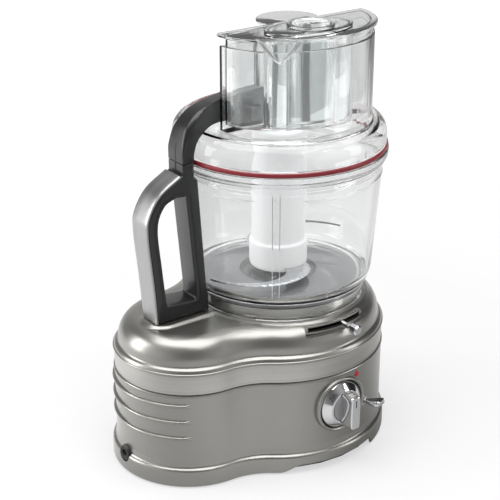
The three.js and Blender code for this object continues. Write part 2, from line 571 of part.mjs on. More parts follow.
function addLid() {
  const l = LID;
  const cover = lathe([
    [0, l.plate], [l.spigot - 2.4, l.plate], [l.spigot - 2.4, l.spigotLow], [l.spigot, l.spigotLow],
    [l.spigot, l.low], [l.rim, l.low], [l.rim, 343], [l.rim - 1.5, 349], [l.rim - 6, 353.6],
    [l.groove + 1.6, l.top], [l.groove, l.top - 1.4], [l.groove - 1.6, l.top], [0, l.top],
  ]);
  const wall = slab(tubeOutline(0), l.plate, TUBE.rim);
  const column = disc(COLUMN.r, l.plate + 1, COLUMN.high, COLUMN.x, COLUMN.y, 32);
  const columnBore = disc(COLUMN.r - COLUMN.wall, l.top, COLUMN.high + 1, COLUMN.x, COLUMN.y, 32);
  const behind = box(-60, 80, TUBE.y - 1, 60, l.plate, COLUMN.high + 2);
  const shell = join(cover, wall, column.intersect(behind));
  const bore = slab(tubeOutline(TUBE.wall), l.plate - 1, TUBE.rim + 1);
  const columnHollow = columnBore.intersect(box(-60, 80, TUBE.y, 60, l.top, COLUMN.high + 2));
  addPiece('lid_shell', cut(shell, bore, columnHollow), CLEAR);
  addPiece('lid_seal', ring(SEAL.inner, SEAL.outer, SEAL.low, SEAL.high, 48), RED);

  const low = HANDLE.joint + 0.7;
  const top = spline([[HANDLE.outer, low], [-126.6, 347], [-119, 367], [-98, 382], [ARM.neck, 390]], 18);
  const bend = [[ARM.neck, ARM.under], [-86, 363.5], [-105, 354.6], [-112.4, 341], [-113.8, low]];
  const under = spline(bend, 12);
  const foot = LID.top + GAP;
  const block = pairs([[ARM.end, ARM.top], [ARM.end, foot], [ARM.block, foot], [ARM.block, ARM.under]]);
  const arm = profile([...top, ...block, ...under], -HANDLE.half, HANDLE.half);
  const besideTube = box(-84.5, 0, -20, TUBE.y + 0.6, 340, 400);
  const overLid = disc(l.rim + 1, l.low - 1, l.top + GAP, 0, 0, 48);
  addPiece('lid_arm', cut(arm, besideTube, overLid), BLACK);
}

// ---------------------------------------------------------------- nested pushers

function addPushers() {
  const inner = TUBE.wall + LARGE.clearance;
  const sleeve = { a: OVAL.a + LARGE.wall, b: OVAL.b + LARGE.wall };
  const wall = slab(tubeOutline(inner), LARGE.low, LARGE.plate + 1, tubeOutline(inner + LARGE.wall));
  const oval = slab(ellipse(OVAL.x, OVAL.y, sleeve.a, sleeve.b), LARGE.low, LARGE.plate + 1,
    ellipse(OVAL.x, OVAL.y, OVAL.a, OVAL.b));
  const plate = slab(tubeOutline(-LARGE.overhang), LARGE.plate, LARGE.top);
  const lobe = disc(COLUMN.r + 0.5, LARGE.plate, LARGE.top, COLUMN.x + 3, COLUMN.y + 1, 32);
  const hole = slab(ellipse(OVAL.x, OVAL.y, OVAL.a, OVAL.b), LARGE.low - 1, LARGE.top + 1);
  addPiece('large_pusher', cut(join(wall, oval, plate, lobe), hole), CLEAR);
  const [front, back] = [TUBE.y + 4, TUBE.y + 11];
  for (const [name, x] of BARS.at) {
    addPiece(name, box(x - BARS.half, x + BARS.half, front, back, BARS.low, LARGE.plate - GAP), BLACK);
  }

  const m = { a: OVAL.a - MEDIUM.clearance, b: OVAL.b - MEDIUM.clearance };
  const cup = slab(ellipse(OVAL.x, OVAL.y, m.a, m.b), MEDIUM.low, MEDIUM.flange + 1,
    ellipse(OVAL.x, OVAL.y, m.a - MEDIUM.wall, m.b - MEDIUM.wall));
  const sleeveForSmall = ring(SMALL.r, SMALL.r + MEDIUM.wall, MEDIUM.low, MEDIUM.flange + 1, 28);
  const tube = sleeveForSmall.translate([SMALL.x, SMALL.y, 0]);
  const flange = slab(ellipse(OVAL.x, OVAL.y, m.a + 3.5, m.b + 3), MEDIUM.flange, MEDIUM.top);
  const bore = disc(SMALL.r, MEDIUM.low - 1, MEDIUM.top + 1, SMALL.x, SMALL.y, 28);
  addPiece('medium_pusher', cut(join(cup, tube, flange, spout()), bore), CLEAR);

  const r = SMALL.r - SMALL.clearance;
  const plug = lathe([[0, SMALL.low], [r, SMALL.low], [r, SMALL.flange], [r + 3.4, SMALL.flange],
    [r + 3.4, SMALL.top], [r - SMALL.wall, SMALL.top], [r - SMALL.wall, SMALL.low + SMALL.wall],
    [0, SMALL.low + SMALL.wall]], 28);
  addPiece('small_pusher', plug.translate([SMALL.x, SMALL.y, 0]), CLEAR);
}

// A pouring lip: half a cone that hangs outside the rim of the feed tube.
function spout() {
  const angle = radians(SPOUT.angle);
  const x = TUBE.x + TUBE.a * Math.cos(angle);
  const y = TUBE.y + TUBE.b * Math.sin(angle);
  const turn = Math.atan2(Math.sin(angle) / TUBE.b, Math.cos(angle) / TUBE.a);
  const cone = (top, bottom, low, high) => {
    const geometry = new THREE.CylinderGeometry(top, bottom, high - low, 24).rotateX(Math.PI / 2);
    geometry.translate(0, 0, (low + high) / 2).scale(SPOUT.reach / SPOUT.half, 1, 1).rotateZ(turn);
    return solid(geometry.translate(x, y, 0));
  };
  const outer = cone(SPOUT.half, 3, SPOUT.low, MEDIUM.top);
  const inner = cone(SPOUT.half - SPOUT.wall, 1, SPOUT.low + SPOUT.wall, MEDIUM.top + 0.1);
  const clear = slab(tubeOutline(-LARGE.overhang - 0.6), SPOUT.low - 1, MEDIUM.flange - GAP / 2);
  const lip = cut(outer, clear);
  return cut(lip, cut(inner, slab(tubeOutline(-LARGE.overhang - 2), SPOUT.low - 1, MEDIUM.top + 1)));
}

// ---------------------------------------------------------------- the whole machine

addBase();
addDrive();
addControls();
addBowl();
addBlade();
addLid();
addPushers();

export default processor;
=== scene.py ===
"""Looks of a large countertop food processor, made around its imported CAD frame.

Sizes in the classes are millimetres about the bowl's axis, with Z up from the floor. to_frame() turns them
into metres in the frame, whose origin is the middle of the machine's box.
"""
import json
import logging
import math
from dataclasses import dataclass, field
from enum import Enum

import bmesh
import bpy
import numpy as np
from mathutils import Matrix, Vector
from mathutils.geometry import tessellate_polygon


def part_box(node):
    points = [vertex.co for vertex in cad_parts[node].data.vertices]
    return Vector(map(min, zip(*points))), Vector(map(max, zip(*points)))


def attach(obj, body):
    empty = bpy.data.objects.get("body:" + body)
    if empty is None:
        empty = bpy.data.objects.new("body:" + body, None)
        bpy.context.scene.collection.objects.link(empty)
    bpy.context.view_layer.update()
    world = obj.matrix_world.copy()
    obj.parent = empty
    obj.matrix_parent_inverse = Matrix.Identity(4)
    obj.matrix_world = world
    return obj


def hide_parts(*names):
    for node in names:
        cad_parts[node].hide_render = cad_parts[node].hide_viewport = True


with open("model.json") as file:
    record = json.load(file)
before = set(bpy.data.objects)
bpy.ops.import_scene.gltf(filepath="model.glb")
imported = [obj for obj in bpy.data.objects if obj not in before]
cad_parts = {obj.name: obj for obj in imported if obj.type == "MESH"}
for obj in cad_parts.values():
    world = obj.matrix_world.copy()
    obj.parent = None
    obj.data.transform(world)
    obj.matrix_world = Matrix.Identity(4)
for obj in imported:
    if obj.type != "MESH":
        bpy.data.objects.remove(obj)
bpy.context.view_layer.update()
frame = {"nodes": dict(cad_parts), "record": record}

Array = np.ndarray
MM = 0.001
log = logging.getLogger("processor")

_low, _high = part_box("drive_spindle")
AXIS = np.array([(_low.x + _high.x) / 2, (_low.y + _high.y) / 2, 0.0])


def to_frame(points: Array) -> Array:
    """Turns millimetres about the bowl's axis into metres in the frame."""
    return np.asarray(points, float) * MM + AXIS


class Plane(Enum):
    """The plane that an outline is drawn in, and the way it is then thickened."""

    PLAN = "plan"      # outline in X and Y, thickened along Z
    SIDE = "side"      # outline in X and Z, thickened along Y
    FRONT = "front"    # outline in X and Z, thickened along -Y

    def place(self, uvh: Array) -> Array:
        """Puts outline points and their height along the thickness in space.

        Args:
            uvh: Rows (u, v, h): the outline's two coordinates and the height.

        Returns:
            Rows (x, y, z).
        """
        u, v, h = uvh[..., 0], uvh[..., 1], uvh[..., 2]
        if self is Plane.PLAN:
            return np.stack([u, v, h], -1)
        return np.stack([u, h if self is Plane.SIDE else -h, v], -1)


class Facing(Enum):
    """Where the axle of a turned piece points."""

    UP = ((1, 0, 0), (0, 1, 0), (0, 0, 1))
    FRONT = ((1, 0, 0), (0, 0, -1), (0, 1, 0))
    LEFT = ((0, 0, -1), (0, 1, 0), (1, 0, 0))


class Merge(Enum):
    """How one solid changes another."""

    JOIN = "UNION"
    CUT = "DIFFERENCE"


# ---------------------------------------------------------------- curves


def smooth(points: list | Array, steps: int = 8) -> Array:
    """A Catmull-Rom curve: each span is the cubic through its ends with their neighbours' slopes.

    Args:
        points: The places that the curve passes through.
        steps: Samples in each span.

    Returns:
        The sampled curve, one row for each sample.
    """
    p = np.asarray(points, float)
    padded = np.vstack([2 * p[0] - p[1], p, 2 * p[-1] - p[-2]])
    t = np.linspace(0, 1, steps, endpoint=False)[None, :, None]
    a, b, c, d = padded[:-3, None], padded[1:-2, None], padded[2:-1, None], padded[3:, None]
    spans = 2 * b + (c - a) * t + (2 * a - 5 * b + 4 * c - d) * t**2 + (3 * b - a - 3 * c + d) * t**3
    return np.vstack([spans.reshape(-1, p.shape[1]) / 2, p[-1:]])


def rounded(corners: list | Array, trim: float | list = 0.8, steps: int = 4) -> Array:
    """A closed outline whose corners are parabolas that start and end a trimmed length away from them.

    Args:
        corners: The corners in order.
        trim: Length taken off each side of a corner, for all corners or for each.
        steps: Samples in each corner's curve.

    Returns:
        The closed outline without a repeated last point.
    """
    p = np.asarray(corners, float)
    cut = np.broadcast_to(np.asarray(trim, float), (len(p),))[:, None]
    before, after = np.roll(p, 1, 0) - p, np.roll(p, -1, 0) - p
    reach = lambda side: side * np.minimum(cut / np.linalg.norm(side, axis=1, keepdims=True), 0.49)
    start, end = (p + reach(before))[:, None], (p + reach(after))[:, None]
    t = np.linspace(0, 1, steps + 1)[None, :, None]
    return ((1 - t) ** 2 * start + 2 * t * (1 - t) * p[:, None] + t**2 * end).reshape(-1, 2)


def to_axis(table: list | Array, steps: int = 4) -> Array:
    """A profile (r, h, trim) with rounded corners, whose first and last points are drawn in to the axis.

    Args:
        table: Rows (r, h, trim), from one end of the profile to the other.
        steps: Points on each rounded corner.

    Returns:
        The profile as rows (r, h).
    """
    rows = np.asarray(table, float)
    p = rounded(rows[:, :2], rows[:, 2], steps)
    inner = p[p[:, 0] > 0.5]
    return np.vstack([(0, rows[0, 1]), inner, (0, rows[-1, 1])])


def oval(x: float, y: float, a: float, b: float, count: int = 96) -> Array:
    """An ellipse: its centre plus (a cos, b sin) of evenly spaced angles."""
    angle = np.linspace(0, 2 * math.pi, count, endpoint=False)
    return np.stack([x + a * np.cos(angle), y + b * np.sin(angle)], 1)


def inward(loop: Array, distance: float) -> Array:
    """Moves a closed outline inward so that its sides stay parallel: by d (n1 + n2) / (1 + n1 . n2).

    Args:
        loop: Outline points, counterclockwise.
        distance: How far in; a negative value moves it outward.

    Returns:
        The moved outline.
    """
    ahead, behind = np.roll(loop, -1, 0) - loop, loop - np.roll(loop, 1, 0)
    n1, n2 = (np.stack([side[:, 1], -side[:, 0]], 1) / np.linalg.norm(side, axis=1, keepdims=True)
              for side in (behind, ahead))
    bent = 1 + np.sum(n1 * n2, 1, keepdims=True)
    return loop - distance * (n1 + n2) / np.maximum(bent, 0.2)


def counterclockwise(loop: Array) -> Array:
    """The same outline, turned so that its signed area is positive.

    Args:
        loop: Outline points, either way round.

    Returns:
        The outline, counterclockwise.
    """
    x, y = loop[:, 0], loop[:, 1]
    area = np.sum(x * np.roll(y, -1) - np.roll(x, -1) * y)
    return loop if area > 0 else loop[::-1]


def beside(curve: Array) -> Array:
    """The unit normal on the right-hand side of an open curve at each of its points."""
    along = np.gradient(curve, axis=0)
    return np.stack([along[:, 1], -along[:, 0]], 1) / np.linalg.norm(along, axis=1, keepdims=True)


def squared(wave: Array, power: float) -> Array:
    """A sine or cosine made squarer: its sign times its size to a power below one."""
    return np.sign(wave) * np.abs(wave) ** power


def middle_of(node: str) -> Array:
    """The middle of a CAD node's box, in millimetres about the bowl's axis."""
    low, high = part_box(node)
    return ((np.array(low) + np.array(high)) / 2 - AXIS) / MM


def step_up(value: Array, start: float, end: float) -> Array:
    """A smooth step: 0 before start, 1 after end, 3t^2 - 2t^3 between."""
    t = np.clip((value - start) / (end - start), 0, 1)
    return t * t * (3 - 2 * t)


# ---------------------------------------------------------------- surfaces


@dataclass
class Shape:
    """Closed surfaces gathered for one piece, in millimetres about the bowl's axis."""

    points: list[Array] = field(default_factory=list)
    faces: list[tuple[int, ...]] = field(default_factory=list)
    count: int = 0

    def grid(self, points: Array, wrap_rows: bool = False, wrap_columns: bool = True) -> "Shape":
        """Adds a surface of quads between neighbouring rows and columns of points.

        Args:
            points: An array of rows, columns and three coordinates.
            wrap_rows: Whether the last row joins the first.
            wrap_columns: Whether the last column joins the first.

        Returns:
            This shape.
        """
        rows, columns = points.shape[:2]
        r = np.arange(rows if wrap_rows else rows - 1)[:, None]
        c = np.arange(columns if wrap_columns else columns - 1)[None, :]
        down, right = (r + 1) % rows, (c + 1) % columns
        quads = np.stack([r * columns + c, r * columns + right, down * columns + right, down * columns + c],
                         -1)
        return self._add(points.reshape(-1, 3), quads.reshape(-1, 4))

    def turned(self, profile: list | Array, steps: int = 96, at: tuple = (0, 0, 0),
               facing: Facing = Facing.UP, closed: bool = True) -> "Shape":
        """Adds a profile turned round an axle: (r cos, r sin, h) for each profile point (r, h) and angle.

        Args:
            profile: Rows (r, h).
            steps: Steps round the axle.
            at: The axle's foot.
            facing: Where the axle points.
            closed: Whether the profile is joined up end to start.

        Returns:
            The shape itself.
        """
        p = np.asarray(profile, float)
        angle = np.linspace(0, 2 * math.pi, steps, endpoint=False)
        r, h = p[:, :1], np.repeat(p[:, 1:], steps, 1)
        round_z = np.stack([r * np.cos(angle), r * np.sin(angle), h], -1)
        return self.grid(round_z @ np.array(facing.value, float).T + np.array(at, float), wrap_rows=closed)

    def slab(self, outline: Array, low: float, high: float, edge: float = 0.8,
             holes: tuple = (), plane: Plane = Plane.PLAN, steps: int = 4) -> "Shape":
        """Adds a plate with quarter-round edges: wall rows are moved in by e(1 - sin a) at e(1 - cos a).

        Args:
            outline: The outer outline.
            low: Where the thickness starts.
            high: Where it ends.
            edge: Radius of the rounded edges.
            holes: Outlines of the holes.
            plane: The plane that the outlines are drawn in.
            steps: Samples in each rounded edge.

        Returns:
            This shape.
        """
        a = np.linspace(0, math.pi / 2, steps + 1)
        moved = edge * (1 - np.sin(a))
        rise = edge * (1 - np.cos(a))
        insets = np.concatenate([moved, moved[::-1]])
        heights = np.concatenate([low + rise, (high - rise)[::-1]])
        walls = []
        for side, loop in [(1, counterclockwise(outline))] + [(-1, counterclockwise(h)) for h in holes]:
            rows = np.stack([inward(loop, side * d) for d in insets])
            tall = np.broadcast_to(heights[:, None, None], rows.shape[:2] + (1,))
            walls.append(plane.place(np.concatenate([rows, tall], -1)))
        for wall in walls:
            self.grid(wall)
        for row in (0, -1):
            rings = [wall[row] for wall in walls]
            cap = tessellate_polygon([[Vector(p) for p in ring] for ring in rings])
            self._add(np.concatenate(rings), np.array(cap))
        return self

    def tapered(self, sections: Array) -> "Shape":
        """Adds closed sections, one behind the other, shut at both ends by a row at the section's centre.

        Args:
            sections: Rows of points, one row for each section.

        Returns:
            The shape itself.
        """
        first, last = sections[:1].mean(1, keepdims=True), sections[-1:].mean(1, keepdims=True)
        columns = sections.shape[1]
        ends = [np.repeat(first, columns, 1), sections, np.repeat(last, columns, 1)]
        return self.grid(np.concatenate(ends))

    def join(self, other: "Shape") -> "Shape":
        """Adds another shape's surfaces.

        Args:
            other: The shape whose surfaces are added.

        Returns:
            The shape itself.
        """
        self.faces.extend(tuple(index + self.count for index in face) for face in other.faces)
        self.points.extend(other.points)
        self.count += other.count
        return self

    def _add(self, points: Array, faces: Array) -> "Shape":
        """Adds points and the faces between them.

        Args:
            points: Rows (x, y, z).
            faces: Rows of indices into the points.

        Returns:
            The shape itself.
        """
        self.faces.extend(map(tuple, (faces + self.count).tolist()))
        self.points.append(points)
        self.count += len(points)
        return self


def piece(name: str, shape: Shape, crease: float = 32) -> bpy.types.Object:
    """Makes a shape a mesh object: doubles merged, faces outward, smooth except along sharp edges.

    Args:
        name: The piece's name.
        shape: Its surfaces.
        crease: Angle in degrees above which an edge stays sharp.

    Returns:
        The object, at the origin, with its place in its mesh.
    """
    mesh = bpy.data.meshes.new(name)
    mesh.from_pydata(to_frame(np.concatenate(shape.points)).tolist(), [], shape.faces)
    tidy(mesh, crease)
    made = bpy.data.objects.new(name, mesh)
    bpy.context.scene.collection.objects.link(made)
    return made


def tidy(mesh: bpy.types.Mesh, crease: float) -> None:
    """Merges doubles, turns the faces outward and shades smooth between creases.

    Args:
        mesh: The mesh to finish.
        crease: Edges that bend more than this, in degrees, stay sharp.
    """
    work = bmesh.new()
    work.from_mesh(mesh)
    bmesh.ops.remove_doubles(work, verts=work.verts, dist=4e-6)
    bmesh.ops.dissolve_degenerate(work, edges=work.edges, dist=2e-6)
    bmesh.ops.recalc_face_normals(work, faces=work.faces)
    work.to_mesh(mesh)
    work.free()
    mesh.shade_smooth()
    mesh.set_sharp_from_angle(angle=math.radians(crease))


def merged(first: bpy.types.Object, others: list[bpy.types.Object], how: Merge,
           crease: float = 32) -> bpy.types.Object:
    """Joins solids to the first one, or cuts them out of it, and removes them.

    Args:
        first: The solid that stays.
        others: The solids that change it.
        how: Whether they are joined or cut.
        crease: Angle in degrees above which an edge stays sharp.

    Returns:
        The first solid, with its mesh changed.
    """
    for other in others:
        change = first.modifiers.new("change", "BOOLEAN")
        change.operation, change.object, change.solver = how.value, other, "MANIFOLD"
    bpy.context.view_layer.update()
    seen = first.evaluated_get(bpy.context.evaluated_depsgraph_get())
    mesh = bpy.data.meshes.new_from_object(seen)
    first.modifiers.clear()
    first.data = mesh
    for other in others:
        bpy.data.objects.remove(other)
    tidy(mesh, crease)
    return first


# ---------------------------------------------------------------- shader parts


class Nodes:
    """A small hand for building node trees."""

    def __init__(self, tree: bpy.types.NodeTree) -> None:
        """Holds the tree that nodes are added to."""
        self.tree = tree

    def add(self, kind: str, links: dict | None = None, **settings: object) -> bpy.types.Node:
        """Adds a node, sets its properties, and fills its inputs with sockets or values.

        Args:
            kind: Blender's name of the node type.
            links: Values or sockets by input name or number.
            settings: Properties of the node.

        Returns:
            The node.
        """
        node = self.tree.nodes.new(kind)
        for name, value in settings.items():
            setattr(node, name, value)
        for name, value in (links or {}).items():
            if isinstance(value, bpy.types.NodeSocket):
                self.tree.links.new(value, node.inputs[name])
            else:
                node.inputs[name].default_value = value
        return node

    def noise(self, place: object, scale: object, detail: float = 2.0) -> bpy.types.NodeSocket:
        """A noise, and the socket of its value."""
        return self.add("ShaderNodeTexNoise", {"Vector": place, "Scale": scale, "Detail": detail}).outputs[0]

    def maths(self, operation: str, a: object, b: object = 0.0, clamp: bool = False) -> bpy.types.NodeSocket:
        """One sum, and the socket of its result."""
        return self.add("ShaderNodeMath", {0: a, 1: b}, operation=operation, use_clamp=clamp).outputs[0]

    def spread(self, value: object, low: float, high: float, to_low: float,
               to_high: float) -> bpy.types.NodeSocket:
        """Maps a value from one range to another, and stops it at the ends."""
        links = {"Value": value, "From Min": low, "From Max": high, "To Min": to_low, "To Max": to_high}
        return self.add("ShaderNodeMapRange", links).outputs[0]

    def blend(self, share: object, a: object, b: object, how: str = "MIX") -> bpy.types.NodeSocket:
        """Mixes two colours."""
        node = self.add("ShaderNodeMix", {0: share, 6: a, 7: b}, data_type="RGBA", blend_type=how)
        return node.outputs[2]


def shader_group(name: str, inputs: dict[str, float | tuple], outputs: list[str]) -> tuple:
    """Starts a node group with named sockets.

    Args:
        name: The group's name.
        inputs: Names of the inputs and their usual values; a tuple makes a vector.
        outputs: Names of the outputs, all plain values.

    Returns:
        The tree, a hand for building it, and its input and output nodes.
    """
    tree = bpy.data.node_groups.new(name, "ShaderNodeTree")
    for label, value in inputs.items():
        kind = "NodeSocketVector" if isinstance(value, tuple) else "NodeSocketFloat"
        tree.interface.new_socket(label, in_out="INPUT", socket_type=kind).default_value = value
    for label in outputs:
        tree.interface.new_socket(label, in_out="OUTPUT", socket_type="NodeSocketFloat")
    hand = Nodes(tree)
    return tree, hand, hand.add("NodeGroupInput"), hand.add("NodeGroupOutput")


def grain_group() -> bpy.types.NodeTree:
    """Fine grain over a slow unevenness: height is fine noise plus half of a noise twelve times larger.

    Returns:
        The node group, whose outputs are Height and Tone.
    """
    tree, hand, given, out = shader_group("Grain", {"Vector": (0, 0, 0), "Scale": 400.0}, ["Height", "Tone"])
    place, scale = given.outputs[:2]
    fine = hand.noise(place, scale, 3.0)
    broad = hand.noise(place, hand.maths("DIVIDE", scale, 12.0))
    tree.links.new(hand.maths("ADD", fine, hand.maths("MULTIPLY", broad, 0.5)), out.inputs[0])
    tree.links.new(broad, out.inputs[1])
    return tree


def stroke_group() -> bpy.types.NodeTree:
    """Brush strokes: noise on coordinates that are stretched along the stroke, at two widths.

    Returns:
        The node group, whose outputs are Height and Tone.
    """
    tree, hand, given, out = shader_group("Strokes", {"Vector": (0, 0, 0)}, ["Height", "Tone"])
    fine = hand.noise(given.outputs[0], 1.0, 4.0)
    wide = hand.noise(given.outputs[0], 0.18)
    tree.links.new(fine, out.inputs[0])
    tree.links.new(hand.maths("MULTIPLY", fine, wide), out.inputs[1])
    return tree


def marks_group() -> bpy.types.NodeTree:
    """Handling marks: the upper part of a soft noise, broken by a finer one, as a mask from 0 to 1.

    Returns:
        The node group, whose output is Mask.
    """
    tree, hand, given, out = shader_group("Marks", {"Vector": (0, 0, 0), "Scale": 18.0}, ["Mask"])
    soft = hand.noise(given.outputs[0], given.outputs[1])
    fine = hand.noise(given.outputs[0], 260.0, 3.0)
    tree.links.new(hand.maths("MULTIPLY", hand.spread(soft, 0.45, 0.72, 0, 1), fine), out.inputs[0])
    return tree


def wear_group() -> bpy.types.NodeTree:
    """Edge wear: sharply convex places, broken up by noise, as a mask from 0 to 1.

    Returns:
        The node group, whose output is Mask.
    """
    tree, hand, given, out = shader_group("Wear", {"Vector": (0, 0, 0)}, ["Mask"])
    convex = hand.spread(hand.add("ShaderNodeNewGeometry").outputs["Pointiness"], 0.53, 0.62, 0, 1)
    broken = hand.spread(hand.noise(given.outputs[0], 90.0), 0.35, 0.65, 0.3, 1)
    tree.links.new(hand.maths("MULTIPLY", convex, broken), out.inputs[0])
    return tree


def dust_group() -> bpy.types.NodeTree:
    """Dust: faces that look up, broken up by noise, as a mask from 0 to 1.

    Returns:
        The node group, whose output is Mask.
    """
    tree, hand, given, out = shader_group("Dust", {"Vector": (0, 0, 0)}, ["Mask"])
    normal = hand.add("ShaderNodeNewGeometry").outputs["Normal"]
    level = hand.spread(hand.add("ShaderNodeSeparateXYZ", {0: normal}).outputs[2], 0.6, 1.0, 0, 1)
    broken = hand.spread(hand.noise(given.outputs[0], 45.0, 6.0), 0.4, 0.75, 0, 1)
    tree.links.new(hand.maths("MULTIPLY", level, broken), out.inputs[0])
    return tree


GROUPS = {
    "grain": grain_group(), "strokes": stroke_group(), "marks": marks_group(),
    "wear": wear_group(), "dust": dust_group(),
}


# ---------------------------------------------------------------- finishes


def blank(made: bpy.types.Material | bpy.types.World) -> Nodes:
    """Empties a material's or world's node tree and gives the hand that fills it.

    Args:
        made: The material or world to fill.

    Returns:
        The hand that adds nodes to its tree.
    """
    made.use_nodes = True
    made.node_tree.nodes.clear()
    return Nodes(made.node_tree)


@dataclass(frozen=True)
class Finish:
    """A finish with grain, handling marks, worn edges and a little dust."""

    name: str
    slot: str
    colour: tuple[float, float, float]
    roughness: float = 0.5
    metallic: float = 0.0
    coat: float = 0.0
    grain: float = 500.0              # grain size as noise scale
    depth: float = 0.1                # how deep the grain is
    tone: float = 0.12                # how much the broad unevenness darkens the colour
    marks: float = 0.08               # how much handling marks roughen it
    wear: float = 0.1                 # how much worn edges lighten it
    dust: float = 0.04
    stroke: tuple[float, float, float] | None = None    # noise scale along X, Y and Z for a brushed metal
    stroke_depth: float = 0.25

    def material(self) -> bpy.types.Material:
        """The finish as a material, made once."""
        found = bpy.data.materials.get(self.name)
        return found or self.build()

    def group(self, hand: Nodes, key: str, place: object, **values: float) -> bpy.types.Node:
        """Places one of the shared groups and fills its inputs.

        Args:
            hand: Adds nodes to the material.
            key: The group's name.
            place: Where on the object the pattern is read.
            **values: The group's other inputs.

        Returns:
            The placed group node.
        """
        node = hand.add("ShaderNodeGroup", node_tree=GROUPS[key])
        hand.tree.links.new(place, node.inputs["Vector"])
        for label, value in values.items():
            node.inputs[label].default_value = value
        return node

    def build(self) -> bpy.types.Material:
        """Builds the nodes: colour from tone, wear and dust, roughness from marks, bump from the grain.

        Returns:
            The finished material.
        """
        made = bpy.data.materials.new(self.name)
        hand = blank(made)
        place = hand.add("ShaderNodeTexCoord").outputs["Object"]
        grain = self.group(hand, "grain", place, Scale=self.grain)
        colour = hand.blend(
            hand.maths("MULTIPLY", grain.outputs["Tone"], self.tone),
            (*self.colour, 1), (*(0.55 * c for c in self.colour), 1))
        height, tone = grain.outputs["Height"], None
        bump = hand.add("ShaderNodeBump", {"Height": height, "Strength": self.depth, "Distance": 0.0004})
        if self.stroke:
            stretched = hand.add("ShaderNodeMapping", {"Vector": place, "Scale": self.stroke}).outputs[0]
            strokes = self.group(hand, "strokes", stretched)
            tone = hand.spread(strokes.outputs["Tone"], 0.1, 0.4, 0, 1)
            colour = hand.blend(hand.maths("MULTIPLY", tone, 0.25), colour, (0.9, 0.9, 0.9, 1), "OVERLAY")
            bump = hand.add("ShaderNodeBump", {
                "Height": strokes.outputs["Height"], "Strength": self.stroke_depth, "Distance": 0.0003,
                "Normal": bump.outputs[0]})
        worn = self.group(hand, "wear", place).outputs[0]
        lighter = (*(min(1.0, c * 1.6 + 0.05) for c in self.colour), 1)
        colour = hand.blend(hand.maths("MULTIPLY", worn, self.wear), colour, lighter)
        settled = self.group(hand, "dust", place).outputs[0]
        colour = hand.blend(hand.maths("MULTIPLY", settled, self.dust), colour, (0.75, 0.73, 0.7, 1))
        touched = self.group(hand, "marks", place).outputs[0]
        rough = hand.maths("MULTIPLY_ADD", touched, self.marks)
        rough.node.inputs[2].default_value = self.roughness
        if tone is not None:
            rough = hand.maths("ADD", rough, hand.maths("MULTIPLY", tone, 0.12), clamp=True)
        surface = hand.add("ShaderNodeBsdfPrincipled", {
            "Base Color": colour, "Roughness": rough, "Metallic": self.metallic, "Coat Weight": self.coat,
            "Coat Roughness": 0.08, "Normal": bump.outputs[0], **self.extras()})
        hand.add("ShaderNodeOutputMaterial", {0: surface.outputs[0]})
        return made

    def extras(self) -> dict[str, object]:
        """More values for the shader's own sockets."""
        return {}


@dataclass(frozen=True)
class FrostedGlowing(Finish):
    """A milky plastic that light soaks into, with a painted glow that makes it look brightly lit."""

    def extras(self) -> dict[str, object]:
        """Light scatters inside, and an even painted glow stands in for the light that would reach it through
        the clear parts.
        """
        # Emission is painted light: the hub glows evenly although it is no lamp.
        return {"Subsurface Weight": 0.3, "Subsurface Radius": (0.01, 0.01, 0.01), "Subsurface Scale": 0.6,
                "Emission Color": (1.0, 1.0, 1.0, 1), "Emission Strength": 0.38}


@dataclass(frozen=True)
class Clear(Finish):
    """A clear moulding that lets lamps through."""

    tint: tuple[float, float, float] = (0.985, 0.988, 0.988)
    waves: float = 0.02
    painted_edge_shade_from: float = 0.66            # how far from facing the view the painted edge shade starts
    painted_edge_shade_share: float = 0.8            # how dark the painted edge shade is when the wall is seen edge on
    deep: float = 11.5                # glass surfaces that bend a ray before it passes straight on

    def build(self) -> bpy.types.Material:
        """Builds glass with slow waves, painted shade that darkens it where it is seen edge on, and plain
        passage for lamps and past many surfaces.

        Returns:
            The finished material.
        """
        made = bpy.data.materials.new(self.name)
        hand = blank(made)
        place = hand.add("ShaderNodeTexCoord").outputs["Object"]
        grain = self.group(hand, "grain", place, Scale=self.grain)
        bump = hand.add("ShaderNodeBump", {
            "Height": grain.outputs["Tone"], "Strength": self.waves, "Distance": 0.002})
        touched = self.group(hand, "marks", place).outputs[0]
        rough = hand.maths("MULTIPLY", touched, self.marks)
        colour = hand.blend(grain.outputs["Tone"], (*self.colour, 1), (*self.tint, 1))
        # Painted shade: the colour turns near black where the wall is seen edge on, standing in for dark
        # refractions at the glass's edges.
        facing = hand.add("ShaderNodeLayerWeight", {0: 0.5}).outputs["Facing"]
        rim = hand.spread(facing, self.painted_edge_shade_from, 1.0, 0.0, self.painted_edge_shade_share)
        colour = hand.blend(rim, colour, (0.05, 0.05, 0.055, 1))
        glass = hand.add("ShaderNodeBsdfPrincipled", {
            "Base Color": colour, "Roughness": rough, "IOR": 1.42, "Metallic": 0.0,
            "Transmission Weight": 1.0, "Normal": bump.outputs[0]})
        passage = hand.add("ShaderNodeBsdfTransparent", {0: (0.98, 0.985, 0.985, 1)})
        path = hand.add("ShaderNodeLightPath").outputs
        deep = hand.maths("GREATER_THAN", path["Transmission Depth"], self.deep)
        straight = hand.maths("MAXIMUM", path["Is Shadow Ray"], deep)
        both = hand.add("ShaderNodeMixShader", {0: straight, 1: glass.outputs[0], 2: passage.outputs[0]})
        hand.add("ShaderNodeOutputMaterial", {0: both.outputs[0]})
        return made


